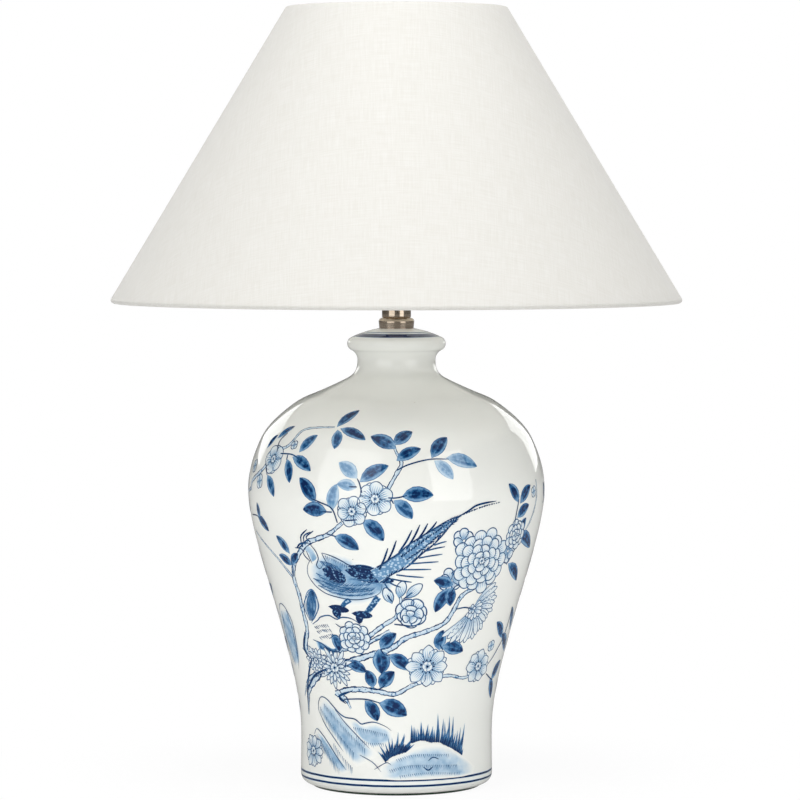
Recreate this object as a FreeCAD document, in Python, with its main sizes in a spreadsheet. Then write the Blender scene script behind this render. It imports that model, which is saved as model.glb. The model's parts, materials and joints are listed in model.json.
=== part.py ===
"""Ginger jar table lamp: a ceramic jar, a harp and socket on a threaded pipe, and a cone shade.

Millimetres. +Z is up, -Y is the front, and the origin is the centre of the felt's underside.
Every driving dimension is in SIZES and goes into the document's spreadsheet; sketches and
primitives are bound to that sheet by the expressions that Dim writes.
"""

import FreeCAD
import Part
import math
import os
import Sketcher

SIZES = {
    # jar: foot, body curve, neck, lip
    "felt_thickness": 2.0,
    "felt_inset": 1.2,
    "foot_radius": 84.2,
    "foot_edge_radius": 9.0,
    "foot_ring_width": 8.0,
    "foot_wall": 10.0,
    "recess_depth": 20.0,
    "recess_chamfer": 8.0,
    "jar_floor": 8.0,
    "jar_wall": 6.5,
    "jar_top_wall": 7.0,
    "cavity_fillet": 8.0,
    "belly_radius": 129.8,
    "belly_rise": 251.0,
    "shoulder_rise": 112.0,
    "neck_radius": 34.2,
    "neck_fillet": 9.45,
    "neck_sweep": 64.9,
    "lip_edge_radius": 6.2,
    "lip_sweep": 64.1,
    "seat_radius": 16.0,
    "jar_hole_clearance": 1.1,
    # cord way
    "cord_hole_rise": 11.5,
    "grommet_radius": 4.2,
    "grommet_bore": 3.4,
    "grommet_flange": 6.0,
    "grommet_flange_thickness": 1.2,
    "grommet_tail": 1.0,
    # threaded pipe and its fasteners
    "pipe_radius": 4.9,
    "pipe_bore": 3.3,
    "pipe_tail": 1.2,
    "thread_gap": 0.05,
    "base_washer_radius": 22.0,
    "base_washer_thickness": 2.0,
    "lock_washer_radius": 8.5,
    "lock_washer_thickness": 1.8,
    "lock_washer_slit": 1.4,
    "nut_flats": 14.3,
    "nut_height": 4.5,
    "top_washer_radius": 11.0,
    "top_washer_thickness": 1.5,
    # nickel cup and neck
    "cup_radius": 15.6,
    "cup_foot_radius": 15.0,
    "cup_height": 9.35,
    "cup_shoulder": 3.2,
    "shell_wall": 0.8,
    "neck_tube_radius": 12.7,
    "neck_tube_height": 25.4,
    "neck_tube_edge": 1.2,
    "slip_gap": 0.3,
    # harp saddle, harp and ferrules
    "saddle_half_span": 27.0,
    "saddle_strip": 1.8,
    "saddle_width": 12.0,
    "saddle_bend": 3.0,
    "saddle_rise": 9.0,
    "saddle_tab_width": 3.6,
    "saddle_tab_height": 10.8,
    "saddle_gap": 0.1,
    "harp_wire": 1.9,
    "harp_leg": 44.5,
    "harp_half_width": 57.0,
    "harp_bow": 90.0,
    "harp_corner": 49.0,
    "harp_rise": 205.5,
    "rest_gap": 0.3,
    "ferrule_radius": 4.0,
    "ferrule_bore": 3.0,
    "ferrule_height": 12.0,
    "ferrule_edge": 0.5,
    "top_block_radius": 6.5,
    "top_block_below": 2.9,
    "top_block_above": 5.0,
    "stud_pin": 1.5,
    "stud_pin_length": 2.7,
    "stud_flange": 6.5,
    "stud_flange_thickness": 2.0,
    "stud_radius": 3.1,
    "stud_length": 13.3,
    # socket with turn switch
    "hub_radius": 7.5,
    "hub_height": 9.0,
    "cap_radius": 17.2,
    "cap_dome": 9.0,
    "cap_wall": 0.7,
    "cap_rim": 6.0,
    "set_screw_radius": 1.6,
    "set_screw_length": 4.2,
    "socket_shell_wall": 0.5,
    "socket_shell_height": 43.5,
    "socket_bead": 0.8,
    "shell_gap": 0.1,
    "insulator_wall": 1.1,
    "socket_body_height": 19.0,
    "socket_flat": 11.5,
    "terminal_head": 2.6,
    "terminal_thickness": 1.5,
    "terminal_slot": 0.8,
    "terminal_rise": 6.3,
    "screw_shell_radius": 13.8,
    "screw_shell_wall": 0.5,
    "screw_shell_height": 24.0,
    "contact_radius": 3.5,
    "contact_height": 2.4,
    "switch_rise": 13.0,
    "shaft_radius": 1.6,
    "shaft_root": 4.5,
    "shaft_hole": 3.2,
    "shaft_reach": 31.0,
    "knob_radius": 5.6,
    "knob_length": 14.0,
    "knob_stand_off": 3.6,
    "knob_groove": 0.9,
    "knob_edge": 1.4,
    "knob_nose": 3.9,
    "knob_taper": 3.5,
    # bulb
    "bulb_contact_radius": 4.5,
    "bulb_contact_height": 1.2,
    "bulb_insulator_height": 2.0,
    "bulb_cap_radius": 12.9,
    "bulb_cap_height": 21.0,
    "bulb_neck_radius": 13.4,
    "bulb_radius": 30.0,
    "bulb_height": 85.0,
    "bulb_glass_wall": 0.9,
    "bulb_gap": 0.4,
    # shade
    "shade_bottom_radius": 251.0,
    "shade_top_radius": 96.0,
    "shade_height": 257.8,
    "fabric": 0.7,
    "liner": 0.8,
    "hem_radius": 2.7,
    "hem_fold": 53.4,
    "hem_tail_start": 7.5,
    "hem_tail_end": 14.0,
    "hem_tail_set": 0.23,
    "liner_end": 4.6,
    "ring_wire": 1.35,
    "spider_drop": 20.6,
    "spider_wire": 1.6,
    "spider_bend": 8.0,
    "spider_run": 84.0,
    "spider_weld": 1.0,
    "spider_notch": 0.5,
    "spider_root": 9.4,
    "fitter_radius": 12.5,
    "fitter_bore": 3.6,
    "fitter_thickness": 1.8,
    # finial
    "finial_base": 7.8,
    "finial_base_height": 2.2,
    "finial_bevel": 1.1,
    "finial_waist": 4.3,
    "finial_ball": 7.6,
    "finial_height": 18.9,
    "finial_bore_depth": 13.5,
    # how far a cutting shape runs past the part that it cuts
    "overcut": 2.0,
}

# The body's curve as control points: how far each lies from the foot's radius to the belly's,
# or from the neck's to the belly's, how far up that stretch, and which way its wall faces.
FOOT_TO_BELLY = [
    (0.00, 0.10, 1.00, 0.00),
    (-0.05, 0.22, 1.00, -0.10),
    (0.33, 0.49, 0.97, -0.24),
    (0.65, 0.69, 0.96, -0.27),
    (1.13, 0.99, 1.00, 0.00),
]
BELLY_TO_NECK = [
    (0.92, 0.34, 0.91, 0.41),
    (0.82, 0.50, 0.75, 0.66),
    (0.53, 0.70, 0.50, 0.87),
    (0.41, 0.73, 0.38, 0.92),
    (0.10, 0.85, 0.50, 0.87),
    (0.00, 0.90, 0.95, 0.30),
    (0.00, 1.00, 1.00, 0.00),
]
# The bulb's glass as control points: share of the widest radius past the neck, share of height.
BULB_CURVE = [(0.0, 0.10), (0.12, 0.26), (0.90, 0.36), (1.12, 0.62)]
# How much of the bulb's radius its nearly flat crown takes up.
BULB_CROWN = 0.62

KNOB_GROOVES = 12
FULL_TURN = 360.0
ARM_ANGLES = {"spider_arm_1": 90.0, "spider_arm_2": 210.0, "spider_arm_3": 330.0}

doc = FreeCAD.newDocument("GingerJarLamp")
sheet = doc.addObject("Spreadsheet::Sheet", "Sizes")
for row, (alias, number) in enumerate(SIZES.items(), start=1):
    sheet.set("A%d" % row, alias)
    sheet.set("B%d" % row, str(number))
    sheet.setAlias("B%d" % row, alias)
doc.recompute()


# ---------------------------------------------------------------- sizes as expressions


class Dim:
    """A size: its value now, and the expression that ties it to the spreadsheet."""

    def __init__(self, value, text):
        self.value = float(value)
        self.text = text

    @staticmethod
    def of(item):
        """A plain number as a size; a size is left as it is."""
        return item if isinstance(item, Dim) else Dim(item, "(%r)" % float(item))

    def __add__(self, other):
        other = Dim.of(other)
        return Dim(self.value + other.value, "(%s + %s)" % (self.text, other.text))

    def __sub__(self, other):
        other = Dim.of(other)
        return Dim(self.value - other.value, "(%s - %s)" % (self.text, other.text))

    def __mul__(self, other):
        other = Dim.of(other)
        return Dim(self.value * other.value, "(%s * %s)" % (self.text, other.text))

    def __truediv__(self, other):
        other = Dim.of(other)
        return Dim(self.value / other.value, "(%s / %s)" % (self.text, other.text))

    def __radd__(self, other):
        return Dim.of(other) + self

    def __rsub__(self, other):
        return Dim.of(other) - self

    def __rmul__(self, other):
        return Dim.of(other) * self

    def __neg__(self):
        return Dim.of(0.0) - self


def size(alias):
    """The sheet's cell of that name."""
    return Dim(SIZES[alias], "Sizes." + alias)


def root(item):
    """The square root of a size."""
    return Dim(math.sqrt(item.value), "sqrt(%s)" % item.text)


def cosine(degrees):
    """The cosine of an angle in degrees."""
    return Dim(math.cos(math.radians(degrees.value)), "cos(%s)" % degrees.text)


def sine(degrees):
    """The sine of an angle in degrees."""
    return Dim(math.sin(math.radians(degrees.value)), "sin(%s)" % degrees.text)


ZERO = Dim.of(0.0)


# ---------------------------------------------------------------- sketches and features


class Outline:
    """A chain of lines, arcs and curves in a sketch, each corner held by the spreadsheet."""

    def __init__(self, sketch, start):
        self.sketch = sketch
        self.start = (Dim.of(start[0]), Dim.of(start[1]))
        self.here = self.start
        self.first = None
        self.last = None

    def hold(self, geometry, vertex, point):
        """Pin one vertex at a point worked out from the sheet."""
        for name, axis, coordinate in (("DistanceX", -2, point[0]), ("DistanceY", -1, point[1])):
            if coordinate is ZERO:
                self.sketch.addConstraint(Sketcher.Constraint("PointOnObject", geometry, vertex, axis))
                continue
            index = self.sketch.addConstraint(
                Sketcher.Constraint(name, -1, 1, geometry, vertex, coordinate.value))
            self.sketch.setExpression("Constraints[%d]" % index, coordinate.text)

    def join(self, geometry, begins, ends, point):
        """Tie a new piece to the chain's end, and pin or close its own end."""
        if self.last is None:
            self.first = (geometry, begins)
            self.hold(geometry, begins, self.start)
        else:
            self.sketch.addConstraint(Sketcher.Constraint("Coincident", *self.last, geometry, begins))
        if point is self.start:
            self.sketch.addConstraint(Sketcher.Constraint("Coincident", geometry, ends, *self.first))
        elif point is not None:
            self.hold(geometry, ends, point)
        self.last = (geometry, ends)
        self.here = point
        return self

    def vector(self, point):
        """A point of the sketch as a vector."""
        return FreeCAD.Vector(point[0].value, point[1].value, 0)

    def line(self, across, up):
        """A straight edge to a point given by its two coordinates."""
        return self.line_to((Dim.of(across), Dim.of(up)))

    def line_to(self, point):
        """A straight edge to the point."""
        edge = Part.LineSegment(self.vector(self.here), self.vector(point))
        geometry = self.sketch.addGeometry(edge, False)
        return self.join(geometry, 1, 2, point)

    def arc(self, radius, centre, point, clockwise):
        """An arc to the point, about a centre that is the radius away from both its ends."""
        middle = self.vector(centre)
        begin = self.vector(self.here) - middle
        end = self.vector(point) - middle
        angles = [math.atan2(begin.y, begin.x), math.atan2(end.y, end.x)]
        if clockwise:
            angles.reverse()
        if angles[1] <= angles[0]:
            angles[1] += 2 * math.pi
        circle = Part.Circle(middle, FreeCAD.Vector(0, 0, 1), radius.value)
        geometry = self.sketch.addGeometry(Part.ArcOfCircle(circle, *angles), False)
        index = self.sketch.addConstraint(Sketcher.Constraint("Radius", geometry, radius.value))
        self.sketch.setExpression("Constraints[%d]" % index, radius.text)
        begins, ends = (2, 1) if clockwise else (1, 2)
        return self.join(geometry, begins, ends, point)

    def curve(self, poles):
        """A smooth curve from here, drawn by control points; it ends at the last of them."""
        poles = [self.here] + poles
        spline = Part.BSplineCurve()
        spline.buildFromPoles([self.vector(pole) for pole in poles], False, 3)
        geometry = self.sketch.addGeometry(spline, False)
        self.sketch.exposeInternalGeometry(geometry)
        for offset, pole in enumerate(poles[1:], start=2):
            self.hold(geometry + offset, 3, pole)
        self.join(geometry, 1, 2, None)
        self.here = poles[-1]
        return self

    def close(self):
        """A straight edge back to the start."""
        return self.line_to(self.start)


def at(across, up):
    """A sketch point; a coordinate that is ZERO stays on its axis."""
    return (Dim.of(across), Dim.of(up))


def new_body(label):
    """An empty body of the document."""
    return doc.addObject("PartDesign::Body", label)


def new_sketch(body, role, name):
    """A sketch on one of the body's own origin planes."""
    plane = next(item for item in body.Origin.OriginFeatures if item.Role == role)
    sketch = body.newObject("Sketcher::SketchObject", name)
    sketch.AttachmentSupport = [(plane, "")]
    sketch.MapMode = "FlatFace"
    return sketch


def bind(item, **expressions):
    """Tie properties of an object to the sheet; double underscores stand for dots."""
    for path, dim in expressions.items():
        item.setExpression(path.replace("__", "."), dim.text)
    return item


def turned(label, start):
    """A body to be turned about Z, and the outline that starts at the given point."""
    body = new_body(label)
    sketch = new_sketch(body, "XZ_Plane", label + "_outline")
    return body, Outline(sketch, start)


def revolve(body, outline):
    """Turn a closed outline about Z."""
    feature = body.newObject("PartDesign::Revolution", body.Name + "_turning")
    feature.Profile = outline.sketch
    feature.ReferenceAxis = (outline.sketch, ["V_Axis"])
    feature.Angle = FULL_TURN
    return body


def cylinder(label, radius, height, bottom=ZERO):
    """An upright cylinder on the Z axis."""
    item = doc.addObject("Part::Cylinder", label)
    return bind(item, Radius=radius, Height=height, Placement__Base__z=bottom)


def cut(label, base, tool):
    """One shape less another."""
    item = doc.addObject("Part::Cut", label)
    item.Base = base
    item.Tool = tool
    return item


def ring(label, outer, inner, height, bottom):
    """A flat ring or a tube on the Z axis."""
    blank = cylinder(label + "_blank", outer, height, bottom)
    return cut(label, blank, cylinder(label + "_bore", inner, height, bottom))


def hexagon_nut(label, bottom):
    """A hexagon nut on the threaded pipe."""
    blank = doc.addObject("Part::Prism", label + "_blank")
    blank.Polygon = 6
    bind(blank, Circumradius=size("nut_flats") / math.sqrt(3), Height=size("nut_height"),
         Placement__Base__z=bottom)
    bore = cylinder(label + "_bore", size("pipe_radius") + size("thread_gap"), size("nut_height"), bottom)
    return cut(label, blank, bore)


def wire_ring(label, point):
    """A ring of round wire, its section centred at the point."""
    item = doc.addObject("Part::Torus", label)
    return bind(item, Radius1=point[0], Radius2=size("ring_wire"), Placement__Base__z=point[1])


# ---------------------------------------------------------------- heights, from the felt up

foot_z = size("felt_thickness")
floor_under_z = foot_z + size("recess_depth")
cavity_z = floor_under_z + size("jar_floor")
body_z = foot_z + size("foot_edge_radius")
belly_z = body_z + size("belly_rise")
neck_z = belly_z + size("shoulder_rise")
cove = at(size("neck_radius") + size("neck_fillet"), neck_z)
cove_to_lip = size("neck_fillet") + size("lip_edge_radius")
lip = at(cove[0] - cove_to_lip * cosine(size("neck_sweep")), neck_z + cove_to_lip * sine(size("neck_sweep")))
dome_radius = lip[0] / cosine(size("lip_sweep")) + size("lip_edge_radius")
dome = at(ZERO, lip[1] - lip[0] * sine(size("lip_sweep")) / cosine(size("lip_sweep")))
seat_z = dome[1] + root(dome_radius * dome_radius - size("seat_radius") * size("seat_radius"))
cup_top_z = seat_z + size("cup_height")
neck_top_z = cup_top_z + size("neck_tube_height")
hub_z = neck_top_z + size("saddle_strip")
cap_dome_z = hub_z + size("hub_height") + size("cap_dome")
shell_z = cap_dome_z + size("rest_gap")
block_z = cap_dome_z - size("rest_gap")
switch_z = block_z + size("switch_rise")
contact_z = block_z + size("socket_body_height")
bulb_z = contact_z + size("contact_height") + size("bulb_gap")
bulb_cap_z = bulb_z + size("bulb_contact_height") + size("bulb_insulator_height")
bulb_neck_z = bulb_cap_z + size("bulb_cap_height")
saddle_z = neck_top_z + size("saddle_rise")
harp_foot_z = saddle_z + size("rest_gap")
ferrule_z = saddle_z + size("rest_gap")
harp_top_z = harp_foot_z + size("harp_rise")
block_top_z = harp_top_z + size("top_block_above")
stud_z = block_top_z + size("slip_gap")
fitter_z = stud_z + size("stud_flange_thickness")
arm_z = fitter_z + size("fitter_thickness") / 2
finial_z = fitter_z + size("fitter_thickness") + size("rest_gap")
top_ring_z = arm_z + size("spider_drop")

pipe_hole = size("pipe_radius") + size("slip_gap")
jar_hole = size("pipe_radius") + size("jar_hole_clearance")
thread_hole = size("pipe_radius") + size("thread_gap")


# ---------------------------------------------------------------- jar and what clamps it


def make_felt_pad():
    """The felt disc under the foot."""
    radius = size("foot_radius") - size("foot_edge_radius") - size("felt_inset")
    return cylinder("felt_pad", radius, size("felt_thickness"))


def body_poles(wall):
    """Control points of the body's curve, set in from the outside by the wall."""
    poles = []
    for across, up, facing_out, facing_up in FOOT_TO_BELLY:
        radius = size("foot_radius") + (size("belly_radius") - size("foot_radius")) * across
        height = body_z + size("belly_rise") * up
        poles.append(at(radius - wall * facing_out, height - wall * facing_up))
    for across, up, facing_out, facing_up in BELLY_TO_NECK:
        radius = size("neck_radius") + (size("belly_radius") - size("neck_radius")) * across
        height = belly_z + size("shoulder_rise") * up
        poles.append(at(radius - wall * facing_out, height - wall * facing_up))
    return poles


def make_jar():
    """The ceramic jar: recessed foot, hollow body, closed neck and domed lip."""
    wall = size("jar_wall")
    ring_outer = size("foot_radius") - size("foot_edge_radius")
    ring_inner = ring_outer - size("foot_ring_width")
    recess = size("foot_radius") - size("foot_wall")
    cavity = size("foot_radius") - wall
    fillet = size("cavity_fillet")
    cavity_neck = size("neck_radius") - wall
    ceiling_z = seat_z - size("jar_top_wall")
    lip_edge = size("lip_edge_radius")
    body, edge = turned("jar_turned", at(jar_hole, floor_under_z))
    # under the foot, round its edge and up the outside
    edge.line(recess, floor_under_z)
    edge.line(recess, foot_z + size("recess_chamfer"))
    edge.line(ring_inner, foot_z)
    edge.line(ring_outer, foot_z)
    edge.arc(size("foot_edge_radius"), at(ring_outer, body_z), at(size("foot_radius"), body_z), False)
    edge.curve(body_poles(ZERO))
    # neck, lip and domed top
    cove_end = at(cove[0] - size("neck_fillet") * cosine(size("neck_sweep")),
                  cove[1] + size("neck_fillet") * sine(size("neck_sweep")))
    edge.arc(size("neck_fillet"), cove, cove_end, True)
    lip_end = at(lip[0] + lip_edge * cosine(size("lip_sweep")), lip[1] + lip_edge * sine(size("lip_sweep")))
    edge.arc(lip_edge, lip, lip_end, False)
    edge.arc(dome_radius, dome, at(size("seat_radius"), seat_z), False)
    edge.line(jar_hole, seat_z)
    # back down inside
    edge.line(jar_hole, ceiling_z)
    edge.line(cavity_neck - fillet, ceiling_z)
    edge.arc(fillet, at(cavity_neck - fillet, ceiling_z - fillet), at(cavity_neck, ceiling_z - fillet), True)
    poles = body_poles(wall)[:0:-1]
    edge.line_to(poles[0])
    edge.curve(poles[1:] + [at(cavity, cavity_z + 2 * fillet), at(cavity, cavity_z + fillet)])
    edge.arc(fillet, at(cavity - fillet, cavity_z + fillet), at(cavity - fillet, cavity_z), True)
    edge.line(jar_hole, cavity_z)
    edge.close()
    revolve(body, edge)
    drill = cylinder("jar_cord_drill", size("grommet_radius") + size("thread_gap"),
                     size("foot_wall") + size("overcut") * 2)
    drill.Placement.Rotation = FreeCAD.Rotation(FreeCAD.Vector(1, 0, 0), -90)
    bind(drill, Placement__Base__y=recess - size("overcut"),
         Placement__Base__z=foot_z + size("cord_hole_rise"))
    return cut("jar", body, drill)


def make_cord_grommet():
    """The bushing in the hole that the cord leaves by, at the back of the foot."""
    tail = -(size("foot_wall") + size("grommet_tail"))
    flange = size("grommet_flange_thickness")
    half = flange / 2
    body, edge = turned("cord_grommet", at(size("grommet_bore"), tail))
    edge.line(size("grommet_radius"), tail)
    edge.line(size("grommet_radius"), ZERO)
    edge.line(size("grommet_flange"), ZERO)
    edge.line(size("grommet_flange"), half)
    edge.arc(half, at(size("grommet_flange") - half, half), at(size("grommet_flange") - half, flange), False)
    edge.line(size("grommet_bore"), flange)
    edge.close()
    revolve(body, edge)
    body.Placement.Rotation = FreeCAD.Rotation(FreeCAD.Vector(1, 0, 0), -90)
    bind(body, Placement__Base__y=size("foot_radius"),
         Placement__Base__z=foot_z + size("cord_hole_rise"))
    return body


def make_pipe_and_fasteners():
    """The threaded pipe through the jar, clamped by a nut on washers at either end."""
    washer_z = floor_under_z - size("base_washer_thickness")
    lock_z = washer_z - size("lock_washer_thickness")
    nut_z = lock_z - size("nut_height")
    pipe_z = nut_z - size("pipe_tail")
    pipe_top_z = hub_z + size("hub_height") - size("pipe_tail")
    lock_ring = ring("lock_washer_ring", size("lock_washer_radius"), pipe_hole,
                     size("lock_washer_thickness"), lock_z)
    slit = doc.addObject("Part::Box", "lock_washer_slit")
    bind(slit, Length=size("lock_washer_radius"), Width=size("lock_washer_slit"),
         Height=size("lock_washer_thickness"), Placement__Base__y=-size("lock_washer_slit") / 2,
         Placement__Base__z=lock_z)
    nut_seat_z = seat_z + size("top_washer_thickness")
    return [
        ring("lamp_pipe", size("pipe_radius"), size("pipe_bore"), pipe_top_z - pipe_z, pipe_z),
        ring("base_washer", size("base_washer_radius"), pipe_hole, size("base_washer_thickness"), washer_z),
        cut("lock_washer", lock_ring, slit),
        hexagon_nut("base_nut", nut_z),
        ring("top_washer", size("top_washer_radius"), pipe_hole, size("top_washer_thickness"), seat_z),
        hexagon_nut("top_nut", nut_seat_z),
    ]


# ---------------------------------------------------------------- nickel neck


def make_seating_cup():
    """The spun cup that covers the upper nut: slightly swelling side, round shoulder."""
    wall = size("shell_wall")
    shoulder = size("cup_shoulder")
    inner_shoulder = shoulder - wall
    corner_z = cup_top_z - shoulder
    centre = at(size("cup_radius") - shoulder, corner_z)
    body, edge = turned("seating_cup", at(size("cup_foot_radius"), seat_z))
    edge.line(size("cup_radius"), corner_z)
    edge.arc(shoulder, centre, at(centre[0], cup_top_z), False)
    edge.line(pipe_hole, cup_top_z)
    edge.line(pipe_hole, cup_top_z - wall)
    edge.line(centre[0], cup_top_z - wall)
    edge.arc(inner_shoulder, centre, at(size("cup_radius") - wall, corner_z), True)
    edge.line(size("cup_foot_radius") - wall, seat_z)
    edge.close()
    return revolve(body, edge)


def make_neck_tube():
    """The one-inch neck over the pipe, its ends turned in."""
    wall = size("shell_wall")
    outer = size("neck_tube_radius")
    turn = size("neck_tube_edge")
    inner_turn = turn - wall
    body, edge = turned("neck_tube", at(pipe_hole, cup_top_z))
    edge.line(outer - turn, cup_top_z)
    edge.arc(turn, at(outer - turn, cup_top_z + turn), at(outer, cup_top_z + turn), False)
    edge.line(outer, neck_top_z - turn)
    edge.arc(turn, at(outer - turn, neck_top_z - turn), at(outer - turn, neck_top_z), False)
    edge.line(pipe_hole, neck_top_z)
    edge.line(pipe_hole, neck_top_z - wall)
    edge.line(outer - turn, neck_top_z - wall)
    edge.arc(inner_turn, at(outer - turn, neck_top_z - turn), at(outer - wall, neck_top_z - turn), True)
    edge.line(outer - wall, cup_top_z + turn)
    edge.arc(inner_turn, at(outer - turn, cup_top_z + turn), at(outer - turn, cup_top_z + wall), True)
    edge.line(pipe_hole, cup_top_z + wall)
    edge.close()
    return revolve(body, edge)


# ---------------------------------------------------------------- saddle, harp, ferrules


def make_harp_saddle():
    """The strip across the neck, bent up at both ends, with a tab beside each harp leg."""
    strip = size("saddle_strip")
    bend = size("saddle_bend")
    inner_bend = bend - strip
    tab_face = size("saddle_half_span") - size("saddle_gap")
    wall_face = tab_face + strip
    tab_top_z = saddle_z + size("saddle_tab_height")
    body = new_body("saddle_strip")
    sketch = new_sketch(body, "XZ_Plane", "saddle_outline")
    edge = Outline(sketch, at(-(wall_face - bend), neck_top_z))
    edge.line(wall_face - bend, neck_top_z)
    edge.arc(bend, at(wall_face - bend, neck_top_z + bend), at(wall_face, neck_top_z + bend), False)
    edge.line(wall_face, saddle_z)
    edge.line(tab_face, saddle_z)
    edge.line(tab_face, tab_top_z)
    edge.line(tab_face - strip, tab_top_z)
    edge.line(tab_face - strip, saddle_z - strip)
    edge.line(tab_face, saddle_z - strip)
    edge.line(tab_face, neck_top_z + bend)
    edge.arc(inner_bend, at(wall_face - bend, neck_top_z + bend), at(wall_face - bend, neck_top_z + strip), True)
    edge.line(-(wall_face - bend), neck_top_z + strip)
    edge.arc(inner_bend, at(-(wall_face - bend), neck_top_z + bend), at(-tab_face, neck_top_z + bend), True)
    edge.line(-tab_face, saddle_z - strip)
    edge.line(-(tab_face - strip), saddle_z - strip)
    edge.line(-(tab_face - strip), tab_top_z)
    edge.line(-tab_face, tab_top_z)
    edge.line(-tab_face, saddle_z)
    edge.line(-wall_face, saddle_z)
    edge.line(-wall_face, neck_top_z + bend)
    edge.arc(bend, at(-(wall_face - bend), neck_top_z + bend), edge.start, False)
    pad = body.newObject("PartDesign::Pad", "saddle_strip_pad")
    pad.Profile = sketch
    pad.Midplane = True
    bind(pad, Length=size("saddle_width"))
    narrow_saddle_tabs(body, tab_top_z)
    hole = cylinder("saddle_hole", thread_hole, strip, neck_top_z)
    return cut("harp_saddle", body, hole)


def narrow_saddle_tabs(body, tab_top_z):
    """Cut both sides of the strip's ends away, which leaves a narrow tab with a shoulder."""
    half_width = size("saddle_width") / 2
    half_tab = size("saddle_tab_width") / 2
    reach = size("saddle_half_span") + size("saddle_strip") + size("overcut")
    for side, name in ((1, "front"), (-1, "back")):
        sketch = new_sketch(body, "YZ_Plane", "saddle_trim_" + name)
        edge = Outline(sketch, at(half_tab * side, saddle_z))
        edge.line(half_tab * side, tab_top_z)
        edge.line(half_width * side, tab_top_z)
        edge.line(half_width * side, saddle_z)
        edge.close()
        pocket = body.newObject("PartDesign::Pocket", "saddle_trim_%s_cut" % name)
        pocket.Profile = sketch
        pocket.Midplane = True
        bind(pocket, Length=reach * 2)


def make_harp():
    """The wire bow: straight legs, an outward sweep, and a round-cornered top."""
    leg = size("saddle_half_span")
    wide = size("harp_half_width")
    bow = size("harp_bow")
    corner = size("harp_corner")
    sweep_cosine = 1 - (wide - leg) / (2 * bow)
    sweep_rise = bow * root(1 - sweep_cosine * sweep_cosine)
    sweep_z = harp_foot_z + size("harp_leg")
    sweep_mid_z = sweep_z + sweep_rise
    sweep_end_z = sweep_mid_z + sweep_rise
    sweep_mid = (leg + wide) / 2
    corner_z = harp_top_z - corner
    body = new_body("harp")
    path = new_sketch(body, "XZ_Plane", "harp_path")
    edge = Outline(path, at(-leg, harp_foot_z))
    edge.line(-leg, sweep_z)
    edge.arc(bow, at(-(leg + bow), sweep_z), at(-sweep_mid, sweep_mid_z), False)
    edge.arc(bow, at(bow - wide, sweep_end_z), at(-wide, sweep_end_z), True)
    edge.line(-wide, corner_z)
    edge.arc(corner, at(corner - wide, corner_z), at(corner - wide, harp_top_z), True)
    edge.line(wide - corner, harp_top_z)
    edge.arc(corner, at(wide - corner, corner_z), at(wide, corner_z), True)
    edge.line(wide, sweep_end_z)
    edge.arc(bow, at(wide - bow, sweep_end_z), at(sweep_mid, sweep_mid_z), True)
    edge.arc(bow, at(leg + bow, sweep_z), at(leg, sweep_z), False)
    edge.line(leg, harp_foot_z)
    section = new_sketch(body, "XY_Plane", "harp_section")
    bind(section, AttachmentOffset__Base__z=harp_foot_z)
    round_section(section, -leg, ZERO, size("harp_wire"))
    pipe = body.newObject("PartDesign::AdditivePipe", "harp_wire_sweep")
    pipe.Profile = section
    pipe.Spine = path
    flatten_harp_feet(body, leg)
    return body


def round_section(sketch, across, up, radius):
    """A circle held at a point of the sketch."""
    middle = FreeCAD.Vector(across.value, up.value, 0)
    geometry = sketch.addGeometry(Part.Circle(middle, FreeCAD.Vector(0, 0, 1), radius.value), False)
    Outline(sketch, at(across, up)).hold(geometry, 3, at(across, up))
    index = sketch.addConstraint(Sketcher.Constraint("Radius", geometry, radius.value))
    sketch.setExpression("Constraints[%d]" % index, radius.text)


def flatten_harp_feet(body, leg):
    """Mill the inner half off each foot, where it lies against the saddle's tab."""
    flat_top_z = saddle_z + size("saddle_tab_height") + size("rest_gap")
    face = leg + size("saddle_gap")
    inner = leg - size("harp_wire") - size("overcut")
    sketch = new_sketch(body, "XZ_Plane", "harp_feet")
    for side in (1, -1):
        edge = Outline(sketch, at(inner * side, harp_foot_z))
        edge.line(face * side, harp_foot_z)
        edge.line(face * side, flat_top_z)
        edge.line(inner * side, flat_top_z)
        edge.close()
    pocket = body.newObject("PartDesign::Pocket", "harp_feet_cut")
    pocket.Profile = sketch
    pocket.Midplane = True
    bind(pocket, Length=(size("harp_wire") + size("overcut")) * 2)


def make_harp_top():
    """The boss on the harp's top, and the stud that swivels in it and carries the shade."""
    below_z = harp_top_z - size("top_block_below")
    wire_start = size("top_block_radius") + size("overcut")
    pin_z = block_top_z - size("stud_pin_length")
    stud_top_z = fitter_z + size("stud_length")
    blank = cylinder("top_block_blank", size("top_block_radius"), block_top_z - below_z, below_z)
    pin_hole = cylinder("top_block_pin_hole", size("stud_pin") + size("thread_gap"),
                        size("stud_pin_length") + size("slip_gap"), pin_z - size("slip_gap"))
    wire_hole = cylinder("top_block_wire_hole", size("harp_wire") + size("thread_gap"), wire_start * 2)
    wire_hole.Placement.Rotation = FreeCAD.Rotation(FreeCAD.Vector(0, 1, 0), 90)
    bind(wire_hole, Placement__Base__x=-wire_start, Placement__Base__z=harp_top_z)
    block = cut("harp_top_block", cut("top_block_pierced", blank, pin_hole), wire_hole)
    stud, edge = turned("harp_stud", at(ZERO, pin_z))
    edge.line(size("stud_pin"), pin_z)
    edge.line(size("stud_pin"), stud_z)
    edge.line(size("stud_flange"), stud_z)
    edge.line(size("stud_flange"), fitter_z)
    edge.line(size("stud_radius"), fitter_z)
    edge.line(size("stud_radius"), stud_top_z - size("ferrule_edge"))
    edge.line(size("stud_radius") - size("ferrule_edge"), stud_top_z)
    edge.line(ZERO, stud_top_z)
    edge.close()
    return [block, revolve(stud, edge)]


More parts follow.
